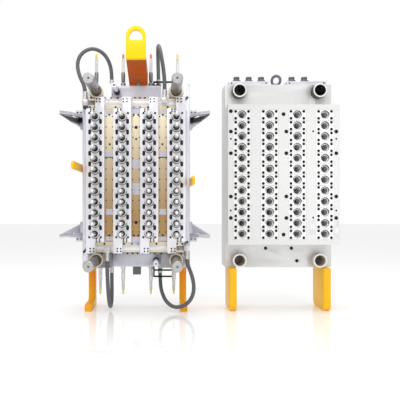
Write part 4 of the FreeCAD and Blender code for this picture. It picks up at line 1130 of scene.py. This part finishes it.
@dataclass
class Hoses(Assembly):
    """The four hoses between the stripper plate and the core plate."""

    radius: float = 10.0
    routes = {
        "upper_left": (
            (-266, 190, 415), (-266, 190, 462), (-298, 186, 522), (-312, 178, 590), (-290, 165, 650),
            (-234, 150, 681), (-178, 130, 661), (-146, 106, 612), (-137, 92, 556), (-137, 92, 500),
        ),
        "upper_right": (
            (150, 202, 423), (150, 202, 486), (144, 214, 548), (134, 228, 606), (124, 216, 660),
            (116, 170, 690), (113, 117, 672), (114, 92, 616), (116, 92, 556), (116, 92, 500),
        ),
        "lower_left": (
            (-150, 202, -423), (-150, 202, -486), (-146, 214, -548), (-141, 228, -608), (-137, 216, -664),
            (-135, 170, -695), (-135, 117, -676), (-136, 92, -618), (-137, 92, -556), (-137, 92, -500),
        ),
        "lower_right": (
            (266, 190, -415), (266, 190, -458), (294, 200, -524), (304, 214, -590), (287, 221, -646),
            (244, 221, -680), (196, 214, -686), (155, 184, -660), (131, 136, -612), (125, 92, -556),
            (125, 92, -500),
        ),
    }
    ferrule = (
        (10.1, 0), (12.4, 0), (12.4, 3), (11.7, 4), (11.7, 7), (12.4, 8), (12.4, 11), (11.7, 12),
        (11.7, 15), (12.4, 16), (12.4, 20), (11.0, 22), (10.1, 22), (10.1, 0),
    )

    def build(self) -> None:
        """Makes the hoses and the crimped ferrules at their ends."""
        for word, route in self.routes.items():
            self._hose(word, [CORE.at(*place) for place in route])
        for index, name, body in ((0, "front_ferrules", "stripper"), (-1, "rear_ferrules", "mould_base")):
            ends = [CORE.at(*route[index]) for route in self.routes.values()]
            made = [Bench.turned(self.ferrule, end, UP if end.z > CENTRE_Z else DOWN, 28) for end in ends]
            self.hand_over(Bench.join(made), name, self.look.fittings, "fitting_steel", body=body)

    def _curve(self, word: str, points: Sequence[Vector], radius: float) -> Piece:
        """Makes a smooth curve along a route.

        Args:
            word: The hose's name.
            points: The route's points, in millimetres.
            radius: The radius of the tube round it, in metres, or 0 for a bare line.

        Returns:
            The curve.
        """
        data = bpy.data.curves.new("route_" + word, "CURVE")
        data.dimensions = "3D"
        data.bevel_depth = radius
        data.bevel_resolution = 5
        data.use_fill_caps = True
        data.resolution_u = 8
        spline = data.splines.new("NURBS")
        spline.points.add(len(points) - 1)
        for control, place in zip(spline.points, points):
            control.co = (*(place * METRES), 1.0)
        spline.order_u = 3
        spline.use_endpoint_u = True
        return Bench.add("hose_" + word, data)

    def _hose(self, word: str, points: Sequence[Vector]) -> None:
        """Makes one hose along a route.

        Args:
            word: The hose's name.
            points: The route's points, in millimetres.
        """
        line = self._curve(word + "_line", points, 0.0)
        mesh = bpy.data.meshes.new_from_object(line)
        bpy.data.objects.remove(line, do_unlink=True)
        hose = self._curve(word, points, self.radius * METRES)
        Bench.pick(hose)
        bpy.ops.object.convert(target="MESH")
        hose = bpy.context.object
        Bench.mend(hose, 0.000001)
        hose.data.materials.clear()
        hose.data.materials.append(self.look.hose)
        bpy.ops.object.shade_smooth_by_angle(angle=math.radians(50))
        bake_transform(hose)
        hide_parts("hoses")

    @staticmethod
    def _rear(points: Sequence[Vector]) -> Vector:
        """Gives the point straight behind the front end, at the depth of the rear end, in metres."""
        front, rear = points[0], points[-1]
        return Vector((front.x, rear.y, front.z)) * METRES


@dataclass
class CavityStack(Assembly):
    """The cavity inserts with their seats, bores and screws, a black ring of painted shade at each bore's mouth
    and a black arc of painted shadow over each seat.
    """

    half_width: float = 44.6
    half_pitch: float = 27.0
    screw_x: float = 32.5
    screw_z: float = 17.5
    screw_hole: float = 7.5
    screw_floor: float = CAVITY_FACE - 12.0
    seat = (
        (0, 156), (9, 159), (13.0, 166), (13.6, 261), (15.2, 263), (18.0, 263), (22, 275.5), (22, 290), (0, 290),
    )
    # A black ring at each bore's mouth, painted shade.
    lip_shade = ((12.4, 262.5), (14.8, 262.5), (14.8, 263.7), (12.4, 263.7), (12.4, 262.5))
    # A black arc over the upper edge of each seat, painted shadow.
    shadow_arc = ((19.4, 271.0), (22.6, 274.0), (22.6, 275.3), (19.6, 275.3), (19.4, 271.0))
    cup = (
        (0, 157.5), (8.6, 160.5), (12.6, 167), (13.2, 259), (13.5, 260), (13.5, 166.6), (9.0, 159.2), (0, 156.4),
    )

    def build(self) -> None:
        """Makes the inserts and what is in them."""
        low = Vector((-self.half_width, -CAVITY_FACE, -self.half_pitch))
        insert = Bench.block(low, Vector((self.half_width, -MANIFOLD_FACE, self.half_pitch)))
        Bench.bevel(insert, 0.7, 1)
        corners = [(x * self.screw_x, z * self.screw_z) for x in (-1, 1) for z in (-1, 1)]
        floor, mouth = self.screw_floor, CAVITY_FACE + 5
        hole = [(0, floor), (self.screw_hole, floor), (self.screw_hole, mouth), (0, mouth)]
        holes = [Bench.turned(hole, Vector((x, 0, z)), FRONT, 16) for x, z in corners]
        Bench.cut(insert, [Bench.turned(self.seat, ORIGIN, FRONT, 36)] + holes)
        places = CAVITY.spots(GRID, 0)
        insert, slot, look = Bench.repeat(insert, places), "slide_steel", self.look
        self.hand_over(insert, "insert_blocks", look.inserts, slot, ["cavity_inserts"], 30.0)
        screws = [(x + dx, z + dz) for x, z in GRID for dx, dz in corners]
        self.screws("insert_screws", CAVITY.spots(screws, floor), 6.9, 9.0)
        self.lathe("cavity_lip_shades", self.lip_shade, places, look.screws, slot, steps=24)
        self.lathe("seat_shadow_arcs", self.shadow_arc, places, look.black, slot, sides=[UP])
        self.lathe("cavity_cups", self.cup, places, look.cups, slot, steps=24)


@dataclass
class CavityBase(Assembly):
    """The plates of the cavity half with bushes, couplings, eye and legs."""

    large = (
        (-267, 321), (-267, 218), (-267, 108), (-267, -111), (-267, -220), (14, 218), (14, 108), (14, -111),
        (14, -220), (267, 218), (267, 108), (267, -111), (267, -220), (0, 306), (0, -304),
    )
    small = ((-267, 181), (267, 181), (-267, -182), (267, -182), (150, 219), (150, -218))
    edge = ((-66, -384), (71, -384), (100, -451))
    bush = ((27.3, -100), (36.6, -100), (37, 0), (37, 47.5), (35, 50), (30.5, 50), (27.3, 46.5), (27.3, -100))
    coupling = (
        (0, 0), (21, 0), (23, 1.5), (23, 10), (21, 12), (17.5, 12.5), (16.5, 14), (16.5, 17), (15.4, 18),
        (15.4, 20), (16.5, 21), (16.5, 28), (14.5, 31), (9, 31), (8, 29.5), (8, 15), (0, 14),
    )
    eye_foot = ((0, -30), (11.5, -30), (11.5, 0), (19, 0), (19, 7), (17, 9), (9.5, 11), (8.5, 15), (0, 15))

    def build(self) -> None:
        """Makes all the pieces."""
        self._front_plate()
        self._manifold_plate()
        self.dress("hot_half_clamp_plate", self.look.pale, "plate_steel", 1.5)
        self.dress("locating_ring", self.look.pins, "pin_steel", 1.0)
        self.dress("sprue_bush", self.look.pins, "pin_steel", 0.6)
        self.dress("water_bars", self.look.plates, "plate_steel", 1.2)
        for node in ("cavity_leg_left", "cavity_leg_right"):
            self.dress(node, self.look.amber, "orange_paint", 2.5)
        # The upper bushes get painted shade on near-black sides, the lower ones a lit copy with lighter painted
        # shade.
        rows = (("upper_bushes", 1, self.look.bushes), ("lower_bushes", -1, self.look.lit_bushes))
        for name, end, material in rows:
            places = CAVITY.spots([(side * PILLAR_X, end * PILLAR_Z) for side in (-1, 1)], MANIFOLD_FACE)
            self.lathe(name, self.bush, places, material, "pin_steel", ["guide_bushes"], steps=48)
        places = [CAVITY.at(x, 100, TOP + 20) for x in (-214, -148, -81, 84, 152)]
        steel, nodes = self.look.couplings, ["water_couplings"]
        self.lathe("quick_couplings", self.coupling, places, steel, "fitting_steel", nodes, UP, 36)
        self._eye()
        bars = [CAVITY.at(side * x, 142, TOP + 10) for side in (-1, 1) for x in (62, 246)]
        self.screws("bar_screws", bars, 4.0, 2.0)

    def _drill(self, holes: Profile, radius: float, face: float, depth: float) -> list[Piece]:
        """Makes cutters for holes of one radius and depth in a face."""
        profile = [(0, 0), (radius * 0.9, 0.5), (radius, depth * 0.3), (radius, depth + 5), (0, depth + 5)]
        return [Bench.turned(profile, foot, FRONT, 24) for foot in CAVITY.spots(holes, face - depth)]

    def _front_plate(self) -> None:
        """Makes the cavity plate with its larger holes."""
        plate = Bench.of_node("cavity_plate")
        cutters = self._drill(self.large, 10.0, CAVITY_FACE, 60)
        Bench.cut(plate, cutters + self._drill(self.small, 5.0, CAVITY_FACE, 30))
        Bench.bevel(plate, 1.0)
        self.screws("plate_bolts", CAVITY.spots(self.large, CAVITY_FACE - 12), 9.3, 8.0)
        self.screws("plate_pins", CAVITY.spots(self.small, CAVITY_FACE - 8), 4.6, 5.0)
        self.hand_over(plate, "cavity_plate_dressed", self.look.pale, "plate_steel", ["cavity_plate"], 30.0)

    def _manifold_plate(self) -> None:
        """Makes the manifold plate with the holes along its edges."""
        plate = Bench.of_node("manifold_plate")
        Bench.cut(plate, self._drill(self.edge, 9.2, MANIFOLD_FACE, 50))
        self.screws("manifold_bolts", CAVITY.spots(self.edge, MANIFOLD_FACE - 9), 8.6, 8.0)
        Bench.bevel(plate, 1.2)
        self.hand_over(plate, "manifold_dressed", self.look.pale, "plate_steel", ["manifold_plate"], 30.0)

    def _eye(self) -> None:
        """Makes the lifting eye with its forged ring."""
        foot = CAVITY.at(0, 100, TOP)
        collar = Bench.turned(self.eye_foot, foot, UP, 36)
        Bench.start()
        bpy.ops.mesh.primitive_torus_add(
            major_radius=23.0, minor_radius=7.0, major_segments=48, minor_segments=20, rotation=(0, 0, 0)
        )
        ring = bpy.context.object
        turn = Matrix.Rotation(math.radians(-25), 4, "Z") @ Matrix.Rotation(math.radians(90), 4, "X")
        ring.data.transform(Matrix.Translation(foot + UP * 33) @ Matrix.Diagonal((1.0, 1.0, 1.1, 1.0)) @ turn)
        eye = Bench.join([collar, ring])
        self.hand_over(eye, "lifting_eye", self.look.couplings, "pin_steel", ["eye_bolt"])


def main() -> None:
    """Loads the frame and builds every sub-assembly."""
    logging.basicConfig(level=logging.INFO, format="%(message)s")
    FRAME.update(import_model())
    Studio().build()
    look = Finishes()
    for kind in (Hoses, CoreStack, StripperGroup, CoreBase, CavityStack, CavityBase):
        kind(look).build()
        LOG.info("%s done", kind.__name__)


if __name__ == "__main__":
    main()
